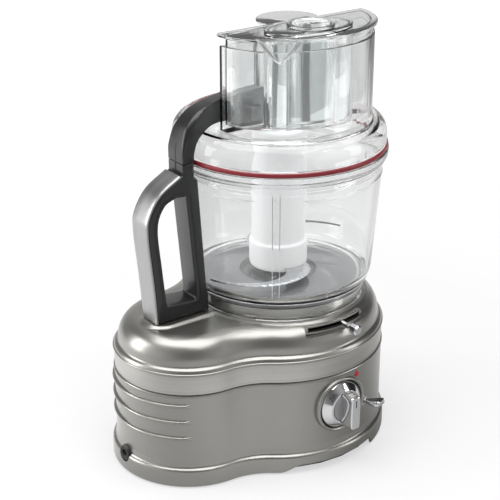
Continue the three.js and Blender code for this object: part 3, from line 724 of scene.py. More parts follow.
ALONG_WALL = (6.0, 6.0, 2600.0)
ALONG_LENGTH = (5.0, 2600.0, 5.0)
ENAMEL = Finish("pearl_enamel", "pearl_housing", (0.325, 0.318, 0.3), 0.3, 0.92, 0.2, 900, 0.03, 0.08, 0.04,
                0.03, 0.01)
BRUSHED = Finish("brushed_band", "brushed_steel", (0.44, 0.43, 0.41), 0.3, 1.0, depth=0.03, wear=0.1,
                 stroke=ALONG_WALL)
SPINE_METAL = Finish("brushed_spine", "brushed_steel", (0.34, 0.34, 0.34), 0.26, 1.0, depth=0.03,
                     stroke=ALONG_LENGTH)
MACHINED = Finish("machined_steel", "machine_steel", (0.45, 0.46, 0.48), 0.32, 1.0, stroke=ALONG_WALL,
                  stroke_depth=0.15)
CAST = Finish("raw_casting", "cast_metal", (0.4, 0.4, 0.39), 0.55, 0.9, grain=260, depth=0.35)
EDGE_STEEL = Finish("ground_steel", "blade_steel", (0.5, 0.51, 0.53), 0.22, 1.0,
                    stroke=(900.0, 900.0, 60.0), stroke_depth=0.12)
CHROME = Finish("chrome_plate", "chrome", (0.72, 0.72, 0.73), 0.05, 1.0, grain=300, depth=0.012, tone=0.05,
                marks=0.06, wear=0.05)
BLACK = Finish("black_moulding", "black_plastic", (0.005, 0.005, 0.006), 0.34, 0, 0.3, 1400, 0.06,
               wear=0.03, dust=0.01)
GREY = Finish("grey_moulding", "grey_plastic", (0.3, 0.3, 0.31), 0.42, 0, grain=1200, depth=0.1)
DARK_BAR = Finish("bar_moulding", "black_plastic", (0.06, 0.06, 0.062), 0.35, 0, 0.2, 1200, 0.08)
RUBBER = Finish("foot_rubber", "rubber", (0.03, 0.03, 0.032), 0.8, 0, grain=700, depth=0.3, dust=0.2)
SEAL = Finish("red_silicone", "red_seal", (0.2, 0.003, 0.01), 0.42, 0, 0.1, 900, 0.08, wear=0.05)
LENS = Finish("red_lens", "red_lens", (0.2, 0.002, 0.015), 0.12, 0, 0.6, 500, 0.02)
COPPER = Finish("varnished_windings", "winding_copper", (0.42, 0.16, 0.06), 0.35, 0.85, 0.4, 300, 0.3)
BOARD = Finish("circuit_board", "circuit_board", (0.02, 0.12, 0.05), 0.45, 0, 0.3, 500, 0.15)
INK = Finish("dial_ink", "black_plastic", (0.02, 0.02, 0.02), 0.5, 0, grain=900, depth=0.02)
MARKING = Finish("etched_marking", "frosted_plastic", (0.8, 0.81, 0.82), 0.6, 0, grain=900, depth=0.1)
# The hub's finish carries a painted glow (emission), so it looks lit through the clear parts around it.
FROSTED_GLOW = FrostedGlowing("frosted_hub_painted_glow", "frosted_plastic", (0.9, 0.91, 0.92), 0.42, 0, 0.1, 700, 0.08, wear=0.05)
CLEAR = Clear("clear_moulding", "clear_plastic", (0.985, 0.99, 0.99), 0.0, grain=260, marks=0.05)

CAD_FINISHES = {f.slot: f for f in (CAST, MACHINED, EDGE_STEEL, CHROME, BLACK, GREY, RUBBER, SEAL, LENS,
                                    COPPER, BOARD,
                                    ENAMEL, BRUSHED, FROSTED_GLOW, CLEAR)}


def deliver(made: bpy.types.Object, finish: Finish, body: str, *nodes: str) -> bpy.types.Object:
    """Dresses a piece, hands it to its body and reports it.

    Args:
        made: The finished mesh object.
        finish: What it is dressed in.
        body: The body that carries it.
        nodes: CAD nodes that it stands for.

    Returns:
        The same object.
    """
    made.data.materials.clear()
    made.data.materials.append(finish.material())
    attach(made, body)
    if nodes:
        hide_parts(*nodes)
    log.info("%-24s %6d faces on %s in %s", made.name, len(made.data.polygons), body, finish.name)
    return made


# ---------------------------------------------------------------- base


@dataclass
class BaseOutline:
    """The base in plan: two lobes joined by arcs that meet them in tangents."""

    motor_x: float = -116.0
    motor_r: float = 79.0
    bowl_x: float = -5.0
    bowl_r: float = 118.0
    waist_r: float = 77.0
    samples: tuple[int, int, int] = (220, 44, 110)    # bowl's lobe, each waist, motor's lobe

    def loop(self) -> tuple[Array, Array]:
        """Points of the outline, counterclockwise, and the outward normals there.

        Returns:
            The points and the normals, row for row.
        """
        near, far = self.bowl_r + self.waist_r, self.motor_r + self.waist_r
        length = self.bowl_x - self.motor_x
        back = (near**2 - far**2 + length**2) / (2 * length)
        waist_x, waist_y = self.bowl_x - back, math.sqrt(near**2 - back**2)
        at_motor = math.atan2(waist_y, waist_x - self.motor_x)
        at_bowl = math.atan2(waist_y, -back)
        bowl, waist, motor = self.samples
        arcs = [
            (self.bowl_x, 0, self.bowl_r, -at_bowl, at_bowl, bowl, 1),
            (waist_x, waist_y, self.waist_r, at_bowl - math.pi, at_motor - math.pi, waist, -1),
            (self.motor_x, 0, self.motor_r, at_motor, 2 * math.pi - at_motor, motor, 1),
            (waist_x, -waist_y, self.waist_r, math.pi - at_motor, math.pi - at_bowl, waist, -1),
        ]
        points, normals = [], []
        for x, y, r, start, end, count, outward in arcs:
            angle = np.linspace(start, end, count, endpoint=False)
            direction = np.stack([np.cos(angle), np.sin(angle)], 1)
            points.append(np.array([x, y]) + r * direction)
            normals.append(outward * direction)
        return np.concatenate(points), np.concatenate(normals)


@dataclass
class CastBase:
    """The housing, its brushed band, the feet and the cord inlet."""

    outline: BaseOutline = field(default_factory=BaseOutline)
    bottom: float = 1.5
    flange: float = 4.9
    band_low: float = 106.5
    band_high: float = 128.0
    band_depth: float = 2.0
    deck: float = 162.0
    shoulder: float = 138.0
    shoulder_inset: float = 5.0
    deck_inset: float = 27.0
    ribs: tuple[float, ...] = (94.4, 75.6, 56.7)
    rib_half: float = 1.9
    rib_height: float = 2.5
    rib_reach: float = 123.0          # degrees each way from the far left
    arch: tuple[float, float, float, float] = (-72.0, -50.0, 41.5, 44.0)
    arch_height: float = 8.0
    pedestal: tuple[float, float, float] = (-148.0, 19.0, 2.6)
    bowl_skirt: float = 91.6

    def build(self) -> None:
        """Makes every piece of the base that shows."""
        self.housing()
        self.band()
        self.feet()
        self.inlet()

    def rows(self) -> Array:
        """The wall's profile as (inset, height), from the flange up to the deck and back down inside.

        Returns:
            Rows (inset, height).
        """
        low = self.bottom
        edge = smooth([(-2.2, low + 0.5), (-3.4, low), (-4.5, low + 0.5), (-self.flange, low + 1.8)], 3)
        flare = smooth([(-4.9, 8), (-4.9, 14.5), (-4.8, 17.8), (-4.35, 19.7), (-3.4, 20.9), (-2.2, 21.8),
                        (-1.3, 22.9), (-0.7, 25), (-0.3, 28.5), (-0.1, 33), (0, 40)], 4)
        rib = np.array([-2.5, -1.92, -1.85, -1.55, -0.95, 0, 0.95, 1.55, 1.85, 1.92, 2.5])
        ribbed = np.concatenate([z + rib for z in self.ribs[::-1]])
        wall = np.sort(np.concatenate([ribbed, [50, 66, 85, 100]]))
        bead = np.array([(0, -1.5), (-0.35, -1.1), (-0.75, -0.6), (-0.9, 0), (-0.75, 0.6), (-0.35, 1.1)])
        lower, upper = bead + (0, self.band_low - 1.2), bead + (0, self.band_high + 1.2)
        recess = [(0.3, self.band_low), (self.band_depth, self.band_low + 0.05),
                  (self.band_depth, self.band_high - 0.05),
                  (0.3, self.band_high)]
        ledge = smooth([(0.2, 130.6), (0.8, 132.2), (1.9, 133.8), (3.6, 135), (4.7, 136.3), (5, 138)], 4)
        angle = np.radians(np.linspace(6, 90, 22))
        span, rise = self.deck_inset - self.shoulder_inset, self.deck - self.shoulder
        dome = np.stack([self.shoulder_inset + span * (1 - np.cos(angle)),
                         self.shoulder + rise * np.sin(angle)], 1)
        top = np.stack([np.linspace(self.deck_inset + 1.4, 76.5, 36), np.full(36, self.deck)], 1)
        inside = [(76, self.deck - 3), (31, self.deck - 3), (16, 155), (9, 141), (5.2, 131), (5, 100),
                  (3, 60), (3, 40), (-0.5, 28), (-2, 17), (-2, 6)]
        straight = np.stack([np.zeros(len(wall)), wall], 1)
        return np.concatenate([edge, flare, straight, lower, recess, upper, ledge, dome, top, inside])

    def housing(self) -> None:
        """The casting: the profile carried round the outline, with ribs, arches, pedestal and seat lip.

        A rib pushes the wall out by h sqrt(1 - (dz / half)^2), fading to nothing at its ends. An arch lifts
        the bottom rows by a smooth step in X. The pedestal raises the deck by a smooth step of the distance
        to a capsule.
        """
        outline, normals = self.outline.loop()
        rows = self.rows()
        outer = np.arange(len(rows)) < len(rows) - 11
        inset = np.repeat(rows[:, :1], len(outline), 1)
        z = np.repeat(rows[:, 1:], len(outline), 1)
        lobe = np.degrees(np.arctan2(outline[:, 1], -(outline[:, 0] - self.outline.motor_x)))
        along = np.clip((self.rib_reach - 66 - np.abs(lobe)) / 5, 0, 1)
        fade = np.sqrt(along * (2 - along))
        for height in self.ribs:
            across = np.clip(1 - ((z - height) / self.rib_half) ** 2, 0, 1)
            inset = inset - outer[:, None] * self.rib_height * np.sqrt(across) * fade
        x, y = (outline[None] - inset[..., None] * normals[None]).transpose(2, 0, 1)
        start, full, hold, end = self.arch
        lift = self.arch_height * step_up(x, start, full) * (1 - step_up(x, hold, end))
        z = z + lift * np.clip((20 - z) / 18, 0, 1)
        centre, radius, height = self.pedestal
        to_line = np.hypot(x - np.clip(x, centre, -92), y)
        radial = np.hypot(x, y)
        on_top = outer[:, None] & (z > self.deck - 6)
        outside = step_up(radial, self.bowl_skirt + 1, self.bowl_skirt + 3)
        ridge = height * (1 - step_up(to_line, radius, radius + 4.5)) * outside
        lip = 1.5 * step_up(radial, self.bowl_skirt + 1, self.bowl_skirt + 2) * (1 - step_up(radial, 96, 99))
        z = z + on_top * np.maximum(ridge, lip)
        shell = piece("housing", Shape().grid(np.stack([x, y, z], -1), wrap_rows=True), 40)
        merged(shell, self.openings(), Merge.CUT, 40)
        deliver(shell, ENAMEL, "base", "base_housing")

    def openings(self) -> list[bpy.types.Object]:
        """Solids for the holes behind the knob, lever, lamp and cord, and for the slot in the shoulder.

        Returns:
            The solids that are cut from the casting.
        """
        cut = []
        for name, x, z, r in Controls.holes:
            rod = [(0, 95), (r, 95), (r, 135), (0, 135)]
            cut.append(piece(f"cut_{name}", Shape().turned(rod, 48, (x, 0, z), Facing.FRONT, closed=False)))
        cut.append(piece("cut_slot", sector(90, 116, 151.4, 159.8, -111.5, -69.5)))
        rod = [(0, 185), (9, 185), (9, 210), (0, 210)]
        cut.append(piece("cut_inlet", Shape().turned(rod, 32, (0, 0, 20.5), Facing.LEFT, closed=False)))
        return cut

    def band(self) -> None:
        """The band: a flat section with rounded, slightly crowned face, carried round the outline."""
        outline, normals = self.outline.loop()
        low, high = self.band_low + 0.4, self.band_high - 0.4
        middle = (low + high) / 2
        section = rounded([(1.6, low), (0.55, low), (0.35, middle), (0.55, high), (1.6, high)], 0.5, 3)
        inset, z = section[:, :1, None], section[:, 1:, None]
        across = outline[None] - inset * normals[None]
        tall = np.broadcast_to(z, across.shape[:2] + (1,))
        shape = Shape().grid(np.concatenate([across, tall], -1), wrap_rows=True)
        deliver(piece("band", shape), BRUSHED, "base", "trim_band")

    def feet(self) -> None:
        """Round rubber feet: a dished puck with a rounded rim."""
        for name in ("foot_front_left", "foot_back_left", "foot_front_right", "foot_back_right"):
            low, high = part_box(name)
            x, y, _ = middle_of(name)
            r, top = (high.x - low.x) / 2 / MM, high.z / MM
            ring = [(0, 0.5), (r - 4, 0.5), (r - 3, 0), (r - 2, 0), (r - 1.3, 0.6), (r - 0.2, top - 1),
                    (r - 0.6, top), (0, top)]
            shape = Shape().turned(ring, 48, (x, y, 0), closed=False)
            deliver(piece(f"{name}_pad", shape), RUBBER, "base", name)

    def inlet(self) -> None:
        """The cord inlet: a grommet with a rounded mouth in the back of the base."""
        ring = rounded([(4.2, 187.5), (11, 187.5), (11, 191), (8.6, 191), (8.6, 198.6), (7.6, 199.8),
                        (5.4, 199.8), (4.2, 198.6)], 0.7)
        shape = Shape().turned(ring, 48, (0, 0, 20.5), Facing.LEFT)
        deliver(piece("inlet_grommet", shape), RUBBER, "base", "cord_inlet")


def sector(inner: float, outer: float, low: float, high: float, start: float, end: float,
           edge: float = 0.01) -> Shape:
    """Part of a ring round the bowl's axis, between two angles in degrees.

    Args:
        inner: Inner radius.
        outer: Outer radius.
        low: Underside.
        high: Top.
        start: First angle in degrees.
        end: Last angle in degrees.
        edge: Radius of the rounded rims.

    Returns:
        The closed piece of the ring.
    """
    angle = np.radians(np.linspace(start, end, 40))[:, None]
    direction = np.concatenate([np.cos(angle), np.sin(angle)], 1)
    return Shape().slab(np.concatenate([outer * direction, inner * direction[::-1]]), low, high, edge)


# ---------------------------------------------------------------- controls


@dataclass
class Controls:
    """The speed knob with its dial, the toggle lever and the lamp, on the front of the large lobe."""

    x: float = -5.0
    z: float = 70.5
    face: float = 119.0                # distance of the knob's face in front of the axis
    bar_width: float = 12.0
    bar_height: float = 38.0
    bar_reach: float = 143.8
    toggle: tuple[float, float] = (29.0, 60.0)
    tilt: float = 15.0
    mark_r: float = 21.7
    mark_half: float = 0.42
    mark_tip: float = 0.37
    holes: tuple = (("knob", -5, 70.5, 29), ("toggle", 29, 60, 4.6),    # X, Z and radius
                    ("lamp", 17.1, 98, 3.1))

    def build(self) -> None:
        """Makes the pieces of the controls."""
        at = (self.x, 0, self.z)
        face = self.face
        bezel = smooth([(26.8, face - 8), (31, face - 8), (31.4, face - 4), (31.2, face - 0.5),
                        (30.3, face + 1.4), (29, face + 1.9), (27.8, face + 1.2), (27, face - 0.4),
                        (26.7, face - 3), (26.8, face - 8)], 5)
        deliver(piece("bezel", Shape().turned(bezel[:-1], 96, at, Facing.FRONT)), ENAMEL, "base",
                "knob_bezel")
        dial = rounded([(4.5, face - 7), (26, face - 7), (26, face + 0.4), (24.8, face + 1.8),
                        (18.6, face + 8), (15.9, face + 8), (15.9, face - 3), (4.5, face - 3)], 0.6)
        deliver(piece("dial", Shape().turned(dial, 96, at, Facing.FRONT)), CHROME, "base", "knob_dial")
        disc = [(0, face - 2.4), (15, face - 2.4), (15.5, face - 1.8), (15.5, face + 7.6),
                (15.1, face + 8.4), (14, face + 8.8),
                (8, face + 9.2), (0, face + 9.3)]
        deliver(piece("disc", Shape().turned(disc, 96, at, Facing.FRONT, closed=False)), GREY, "knob",
                "knob_disc")
        self.grip()
        self.dial_marks()
        self.lever()
        x, _, z = middle_of("indicator_lamp")
        front = -(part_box("indicator_lamp")[0].y - AXIS[1]) / MM
        lens = smooth([(0, front - 8), (2.9, front - 8), (2.9, front - 1.2), (2.3, front - 0.3),
                       (0, front)], 4)
        shape = Shape().turned(lens, 32, (x, 0, z), Facing.FRONT, closed=False)
        deliver(piece("lamp_lens", shape), LENS, "base", "indicator_lamp")

    def grip(self) -> None:
        """The grip bar: a rounded rectangle drawn out towards the hand, a little narrower at its face."""
        half, tall = self.bar_width / 2, self.bar_height / 2
        angle = np.linspace(0, 2 * math.pi, 96, endpoint=False)
        across, up = squared(np.cos(angle), 2 / 7), squared(np.sin(angle), 2 / 7)
        start, end = self.face + 9, self.bar_reach
        stations = np.array([(start, 1.05), (start + 3, 1), (end - 3, 0.97), (end - 1.2, 0.95),
                             (end - 0.4, 0.91), (end, 0.84)])
        depth, size = stations[:, :1], stations[:, 1:]
        points = np.stack([self.x + half * size * across, -depth + 0 * across,
                           self.z + tall * (1 - (1 - size) * 0.4) * up], -1)
        deliver(piece("grip", Shape().tapered(points)), CHROME, "knob", "knob_bar")
        line = rounded([(self.x - 0.6, self.z + tall * 0.35), (self.x + 0.6, self.z + tall * 0.35),
                        (self.x + 0.6, self.z + tall * 0.8), (self.x - 0.6, self.z + tall * 0.8)], 0.3)
        shape = Shape().slab(line, end - 0.5, end + 0.12, 0.05, plane=Plane.FRONT)
        deliver(piece("grip_line", shape), INK, "knob")

    def dial_marks(self) -> None:
        """Marks on the dial's slope: a pulse wave at the left, a ring on top and a stroke at the right."""
        wave = np.array([(-5, -1.6), (-3, -1.6), (-3, 1.6), (-1, 1.6), (-1, -1.6),
                         (1, -1.6), (1, 1.6), (3, 1.6), (3, -1.6), (5, -1.6)])
        shape = Shape()
        for a, b in zip(wave[:-1], wave[1:]):
            self.stroke_mark(shape, a, b, 45)
        turn = np.linspace(0, 2 * math.pi, 13)
        ring = np.stack([2 * np.cos(turn), 2 * np.sin(turn)], 1)
        for a, b in zip(ring[:-1], ring[1:]):
            self.stroke_mark(shape, a, b, 0)
        self.stroke_mark(shape, np.array([0, -2.2]), np.array([0, 2.2]), -45)
        deliver(piece("dial_marks", shape), INK, "base")

    def stroke_mark(self, shape: Shape, a: Array, b: Array, turn: float) -> None:
        """Adds a thin stroke on the dial's cone from a to b: x runs round the dial and y up its slope.

        Args:
            shape: The shape that takes the stroke.
            a: Where the stroke starts.
            b: Where it ends.
            turn: Angle of the mark on the dial, in degrees.
        """
        along = b - a
        side = np.array([-along[1], along[0]]) / np.linalg.norm(along) * self.mark_half
        tip = along / np.linalg.norm(along) * self.mark_tip
        corners = np.array([a - side - tip, b - side + tip, b + side + tip, a + side - tip])
        slope = math.radians(45)
        r = self.mark_r + corners[:, 1] * math.cos(slope)
        angle = math.radians(90 + turn) - corners[:, 0] / self.mark_r
        ground = self.face + 1.8 + (24.8 - r)
        rows = [np.stack([self.x + (r + k * 0.1) * np.cos(angle), -(ground + k * 0.1),
                          self.z + (r + k * 0.1) * np.sin(angle)], 1)
                for k in (-1.5, 1.0)]
        shape.tapered(np.stack(rows))

    def lever(self) -> None:
        """The toggle: a paddle that widens and thickens towards its end; sections are rounded rectangles."""
        x, z = self.toggle
        outward = math.asin((x - BaseOutline.bowl_x) / BaseOutline.bowl_r)
        y = -BaseOutline.bowl_r * math.cos(outward)
        stations = np.array([(-12, 2.2, 2.0), (2, 2.2, 2.2), (4, 2.6, 2.3), (9, 4.0, 2.2), (13, 6.2, 2.3),
                             (16, 7.0, 2.6), (22, 7.0, 3.4), (24.3, 6.6, 3.2), (25, 5.6, 2.3)])
        s, w, h = stations.T[:, :, None]
        angle = np.linspace(0, 2 * math.pi, 48, endpoint=False)
        across, up = w * squared(np.cos(angle), 0.4), h * squared(np.sin(angle), 0.4)
        lean = math.radians(self.tilt)
        out, high = s * math.cos(lean) - up * math.sin(lean), s * math.sin(lean) + up * math.cos(lean)
        facing, aside = (math.sin(outward), -math.cos(outward)), (math.cos(outward), math.sin(outward))
        points = np.stack([x + out * facing[0] + across * aside[0], y + out * facing[1] + across * aside[1],
                           z + high], -1)
        deliver(piece("toggle_paddle", Shape().tapered(points), 40), CHROME, "toggle", "toggle_lever")
        collar = rounded([(3.2, 113), (6.2, 113), (6.2, 115.8), (5.2, 116.6), (3.2, 116.6)], 0.5)
        ring = Shape().turned(collar, 40, (x, 2.2, z), Facing.FRONT)
        deliver(piece("toggle_collar", ring), CHROME, "base")


@dataclass
class SliceAdjuster:
    """The slot in the shoulder with its raised frame, and the lever that slides along it."""

    radius: float = 98.5
    low: float = 151.2
    high: float = 160.4
    start: float = -112.0
    end: float = -69.0
    lever: float = -86.5
    lever_z: float = 155.8

    def build(self) -> None:
        """Makes the frame from four bars, and the lever with its octagonal tip."""
        r, low, high = self.radius, self.low, self.high
        frame_shape = Shape()
        bars = [
            (r, r + 6.2, low, low + 2.6, self.start, self.end),
            (r - 1, r + 4.2, high - 2.2, high, self.start, self.end),
            (r + 0.4, r + 5.6, low + 0.7, high - 0.6, self.start + 0.15, self.start + 2.6),
            (r + 0.4, r + 5.0, low + 0.7, high - 0.6, self.end - 2.2, self.end - 0.15),
        ]
        for inner, outer, z0, z1, a0, a1 in bars:
            frame_shape.join(sector(inner, outer, z0, z1, a0, a1, 0.5))
        deliver(piece("slot_frame", frame_shape), ENAMEL, "base", "lever_slot_frame")
        turn = math.radians(self.lever)
        stem = [(0, 86.4), (2.7, 86.4), (2.7, 113), (3.4, 114), (3.4, 117), (0, 117)]
        tip = [(0, 117.3), (4.6, 117.3), (5.6, 118.3), (5.6, 126.4), (4.4, 127.9), (0, 127.9)]
        for name, profile, sides, node in [("stem", stem, 32, "lever_stem"), ("tip", tip, 8, "lever_tip")]:
            shape = Shape().turned(profile, sides, closed=False)
            z, y, x = shape.points[0][:, 0] + self.lever_z, shape.points[0][:, 1], shape.points[0][:, 2]
            shape.points[0] = np.stack([x * math.cos(turn) - y * math.sin(turn),
                                        x * math.sin(turn) + y * math.cos(turn), z], 1)
            deliver(piece(f"lever_{name}_round", shape, 25), CHROME, "slice_lever", node)


# ---------------------------------------------------------------- drive that shows when the bowl is off


@dataclass
class BowlDrive:
    """The seat that the bowl stands on, and the spindle that turns the blade."""

    seat_r: float = 86.0
    seat_low: float = 162.4
    seat_high: float = 181.6
    well: float = 41.0

    def build(self) -> None:
        """Makes the seat, a dished disc, and the spindle, a rod with two flats."""
        high, well, r = self.seat_high, self.well, self.seat_r
        seat = rounded([(well, high - 4), (r, high - 4), (r, high), (well + 0.2, high)],
                       [0.4, 0.8, 1.6, 0.8], 5)
        deliver(piece("seat", Shape().turned(seat, 128)), GREY, "base", "bowl_seat")
        lower = rounded([(14, self.seat_low), (r - 1.2, self.seat_low), (r - 1.2, high - 6),
                         (r - 3.4, high - 5.4), (r - 3.4, high - 4.2), (well - 1, high - 4.2),
                         (well - 3, high - 5), (14, high - 5)], 0.5)
        deliver(piece("seat_core", Shape().turned(lower, 128)), DARK_BAR, "base")
        collar = rounded([(r - 1.1, self.seat_low), (r, self.seat_low), (r, high - 5.6),
                          (r - 1.1, high - 5.6)], 0.3)
        deliver(piece("seat_collar", Shape().turned(collar, 128)), ENAMEL, "base")
        rod = [(0, 11), (8, 11), (8, 211), (7, 214), (0, 214)]
        spindle = piece("spindle", Shape().turned(rod, 48, closed=False))
        flats = []
        for side in (-1, 1):
            block = np.array([(-20, 5), (20, 5), (20, 20), (-20, 20)]) * (1, side)
            flats.append(piece(f"cut_flat_{side}", Shape().slab(block, 184, 220, 0.01)))
        merged(spindle, flats, Merge.CUT)
        deliver(spindle, MACHINED, "spindle", "drive_spindle")


# ---------------------------------------------------------------- bowl and handle


@dataclass
class WorkBowl:
    """The clear bowl with its collar, skirt, lugs and measuring lines."""

    skirt: float = 91.6
    skirt_low: float = 162.8
    floor: float = 182.2
    shoulder: tuple[float, float] = (99.7, 192.0)
    top: tuple[float, float] = (108.4, 311.0)
    collar: float = 113.4
    rim: float = 325.4
    wall: float = 3.0
    neck: tuple[float, float, float] = (13.5, 16.5, 212.0)
    scale_angle: float = -128.0
    scale_low: float = 193.0
    scale_high: float = 306.0
    scale_steps: int = 12
    lug_starts: tuple[int, ...] = (-150, -105, -60, 15, 75, 135)
    lug_width: float = 9.0

    def build(self) -> None:
        """Makes the bowl and the marks on it."""
        outer_top, inner_top = self.top[0], self.top[0] - self.wall
        bore, neck, neck_high = self.neck
        skirt_in = self.skirt - self.wall
        corners = [
            (skirt_in, self.skirt_low, 0.6), (self.skirt, self.skirt_low, 0.8), (self.skirt, 168.5, 2),
            (93.2, 173, 2), (93.8, 177, 2), (96.5, 181.5, 3), (self.shoulder[0], self.shoulder[1], 3),
            (107.4, 297.6, 0.6), (108.1, 298.4, 0.5), (108.1, 299.6, 0.5), (107.7, 300.4, 0.6),
            (outer_top, self.top[1] - 2, 0.8), (outer_top + 1.6, self.top[1], 0.8),
            (outer_top + 1.6, 315, 1.2), (self.collar, 318.5, 1.5), (self.collar, self.rim, 0.8),
            (self.collar - 2.6, self.rim, 0.8), (self.collar - 2.6, 320.2, 1.5), (inner_top, 313, 1.5),
            (inner_top, self.top[1], 1.5), (self.shoulder[0] - self.wall, self.shoulder[1] + 1, 3),
            (92.5, 186.4, 3), (88, self.floor + 2.6, 3), (neck, self.floor + 2.6, 1.5),
            (neck, neck_high, 1), (bore, neck_high, 1), (bore, self.floor, 0.6),
            (skirt_in, self.floor, 1.2),
        ]
        table = np.array(corners)
        shape = Shape().turned(rounded(table[:, :2], table[:, 2], 4), 160)
        bowl = piece("bowl", shape)
        deliver(bowl, CLEAR, "bowl", "bowl_shell")
        self.scale()
        self.lugs()

    def wall_radius(self, z: Array) -> Array:
        """Outer radius of the bowl at a height: a straight line from the shoulder to the top."""
        (r0, z0), (r1, z1) = self.shoulder, self.top
        return r0 + (r1 - 0.8 - r0) * (z - z0) / (z1 - z0)

    def strip(self, shape: Shape, a0: float, a1: float, z0: float, z1: float, thick: float = 0.35) -> None:
        """Adds a thin raised strip on the bowl's wall between two angles and two heights.

        Args:
            shape: The shape that takes the strip.
            a0: First angle in degrees.
            a1: Last angle in degrees.
            z0: Underside.
            z1: Top.
            thick: How far it stands out.
        """
        angle, z = np.radians(np.linspace(a0, a1, 6)), np.linspace(z0, z1, 8)
        r = self.wall_radius(z)[:, None]
        up = np.repeat(z[:, None], 6, 1)
        sheets = [np.stack([(r + k) * np.cos(angle), (r + k) * np.sin(angle), up], -1) for k in (0.05, thick)]
        front, back = sheets[1], sheets[0][:, ::-1]
        shape.grid(np.concatenate([front, back], 1))
        for row in (0, -1):
            ends = np.stack([sheets[0][row], sheets[1][row]])
            shape.grid(ends, wrap_columns=False)

    def scale(self) -> None:
        """The measuring scale: two fine upright lines with ticks between them."""
        shape = Shape()
        for side in (-2.0, 2.0):
            self.strip(shape, self.scale_angle + side - 0.14, self.scale_angle + side + 0.14,
                       self.scale_low, self.scale_high)
        heights = np.linspace(self.scale_low + 6, self.scale_high - 4, self.scale_steps)
        for step, z in enumerate(heights):
            reach = 1.7 if step % 2 else 1.0
            self.strip(shape, self.scale_angle - reach, self.scale_angle - 0.2, z - 0.25, z + 0.25)
        deliver(piece("bowl_scale", shape), MARKING, "bowl")

    def lugs(self) -> None:
        """Locking lugs on the bowl's skirt: short raised bars with rounded ends."""
        shape = Shape()
        for start in self.lug_starts:
            end = start + self.lug_width
            shape.join(sector(self.skirt + 0.2, self.skirt + 1.6, 163.4, 167.2, start, end, 0.6))
        deliver(piece("bowl_lugs", shape), CLEAR, "bowl")


@dataclass
class Handle:
    """The black frame of the handle, and the brushed spine on its back."""

    half: float = 14.0
    low: float = 165.4
    joint: float = 329.8
    outer: float = -127.5
    spine: float = 2.5
    groove_gap: float = 4.4            # from the finger opening
    groove_deep: float = 0.5
    fold: tuple[float, float, float] = (268.0, 1.2, 0.35)    # height, spread and depth of the spine's fold
    back: tuple = ((-163, 165.4), (-166.6, 211), (-171.6, 265), (-168.6, 285), (-155, 305), (-131.5, 319.6))
    grip: tuple = ((-136, 297), (-149.6, 290), (-157.4, 269), (-153.8, 225), (-149.5, 184))

    def build(self) -> None:
        """Makes the frame and the spine."""
        self.frame()
        self.back_strip()

    def frame(self) -> None:
        """The frame: a plate with rounded edges and a finger opening, and a fine step around the opening."""
        curve = smooth(self.back, 10)
        inner = curve + (self.spine + 0.4) * beside(curve)
        post = [(self.outer, 319), (self.outer, self.joint), (-114, self.joint), (-114, 315.5),
                (-110, 311.5), (-101.5, 194), (-99.2, 184), (-98.9, self.low)]
        outline = np.concatenate([inner, np.array(post)])
        opening = np.concatenate([[(-114, 181), (-114.2, 192), (-123.8, 296)], smooth(self.grip, 8)])
        corners = rounded(opening, 2.5, 4)
        shape = Shape().slab(outline, -self.half, self.half, 2.2, (corners,), Plane.SIDE, 5)
        frame_piece = piece("handle_body", shape)
        groove = inward(counterclockwise(corners), -self.groove_gap)
        line = inward(groove, 0.5)
        cuts = []
        for face in (-1, 1):
            low, high = sorted((face * (self.half - self.groove_deep), face * (self.half + 1)))
            cuts.append(piece(f"cut_groove_{face}", Shape().slab(groove, low, high, 0.02, (line,),
                                                                 Plane.SIDE)))
        merged(frame_piece, cuts, Merge.CUT)
        deliver(frame_piece, BLACK, "bowl", "handle_frame")

    def back_strip(self) -> None:
        """The spine: a crowned strip along the back of the handle, with a fold line below the bend."""
        curve = smooth(self.back, 16)
        side = beside(curve)
        y = self.half
        section = rounded([(-y, 0.9), (-y, self.spine), (y, self.spine), (y, 0.9), (y - 2.5, 0.15),
                           (0, 0.0), (-y + 2.5, 0.15)],
                          [0.3, 0.2, 0.2, 0.6, 2, 4, 2], 4)
        height, spread, deep = self.fold
        fold = deep * np.exp(-(((curve[:, 1] - height) / spread) ** 2))
        depth = section[None, :, 1] + fold[:, None] * (section[None, :, 1] < 1.0)
        across = curve[:, None] + depth[..., None] * side[:, None]
        points = np.stack([across[..., 0], np.broadcast_to(section[:, 0], depth.shape), across[..., 1]], -1)
        deliver(piece("handle_back", Shape().tapered(points)), SPINE_METAL, "bowl", "handle_spine")


# ---------------------------------------------------------------- blade


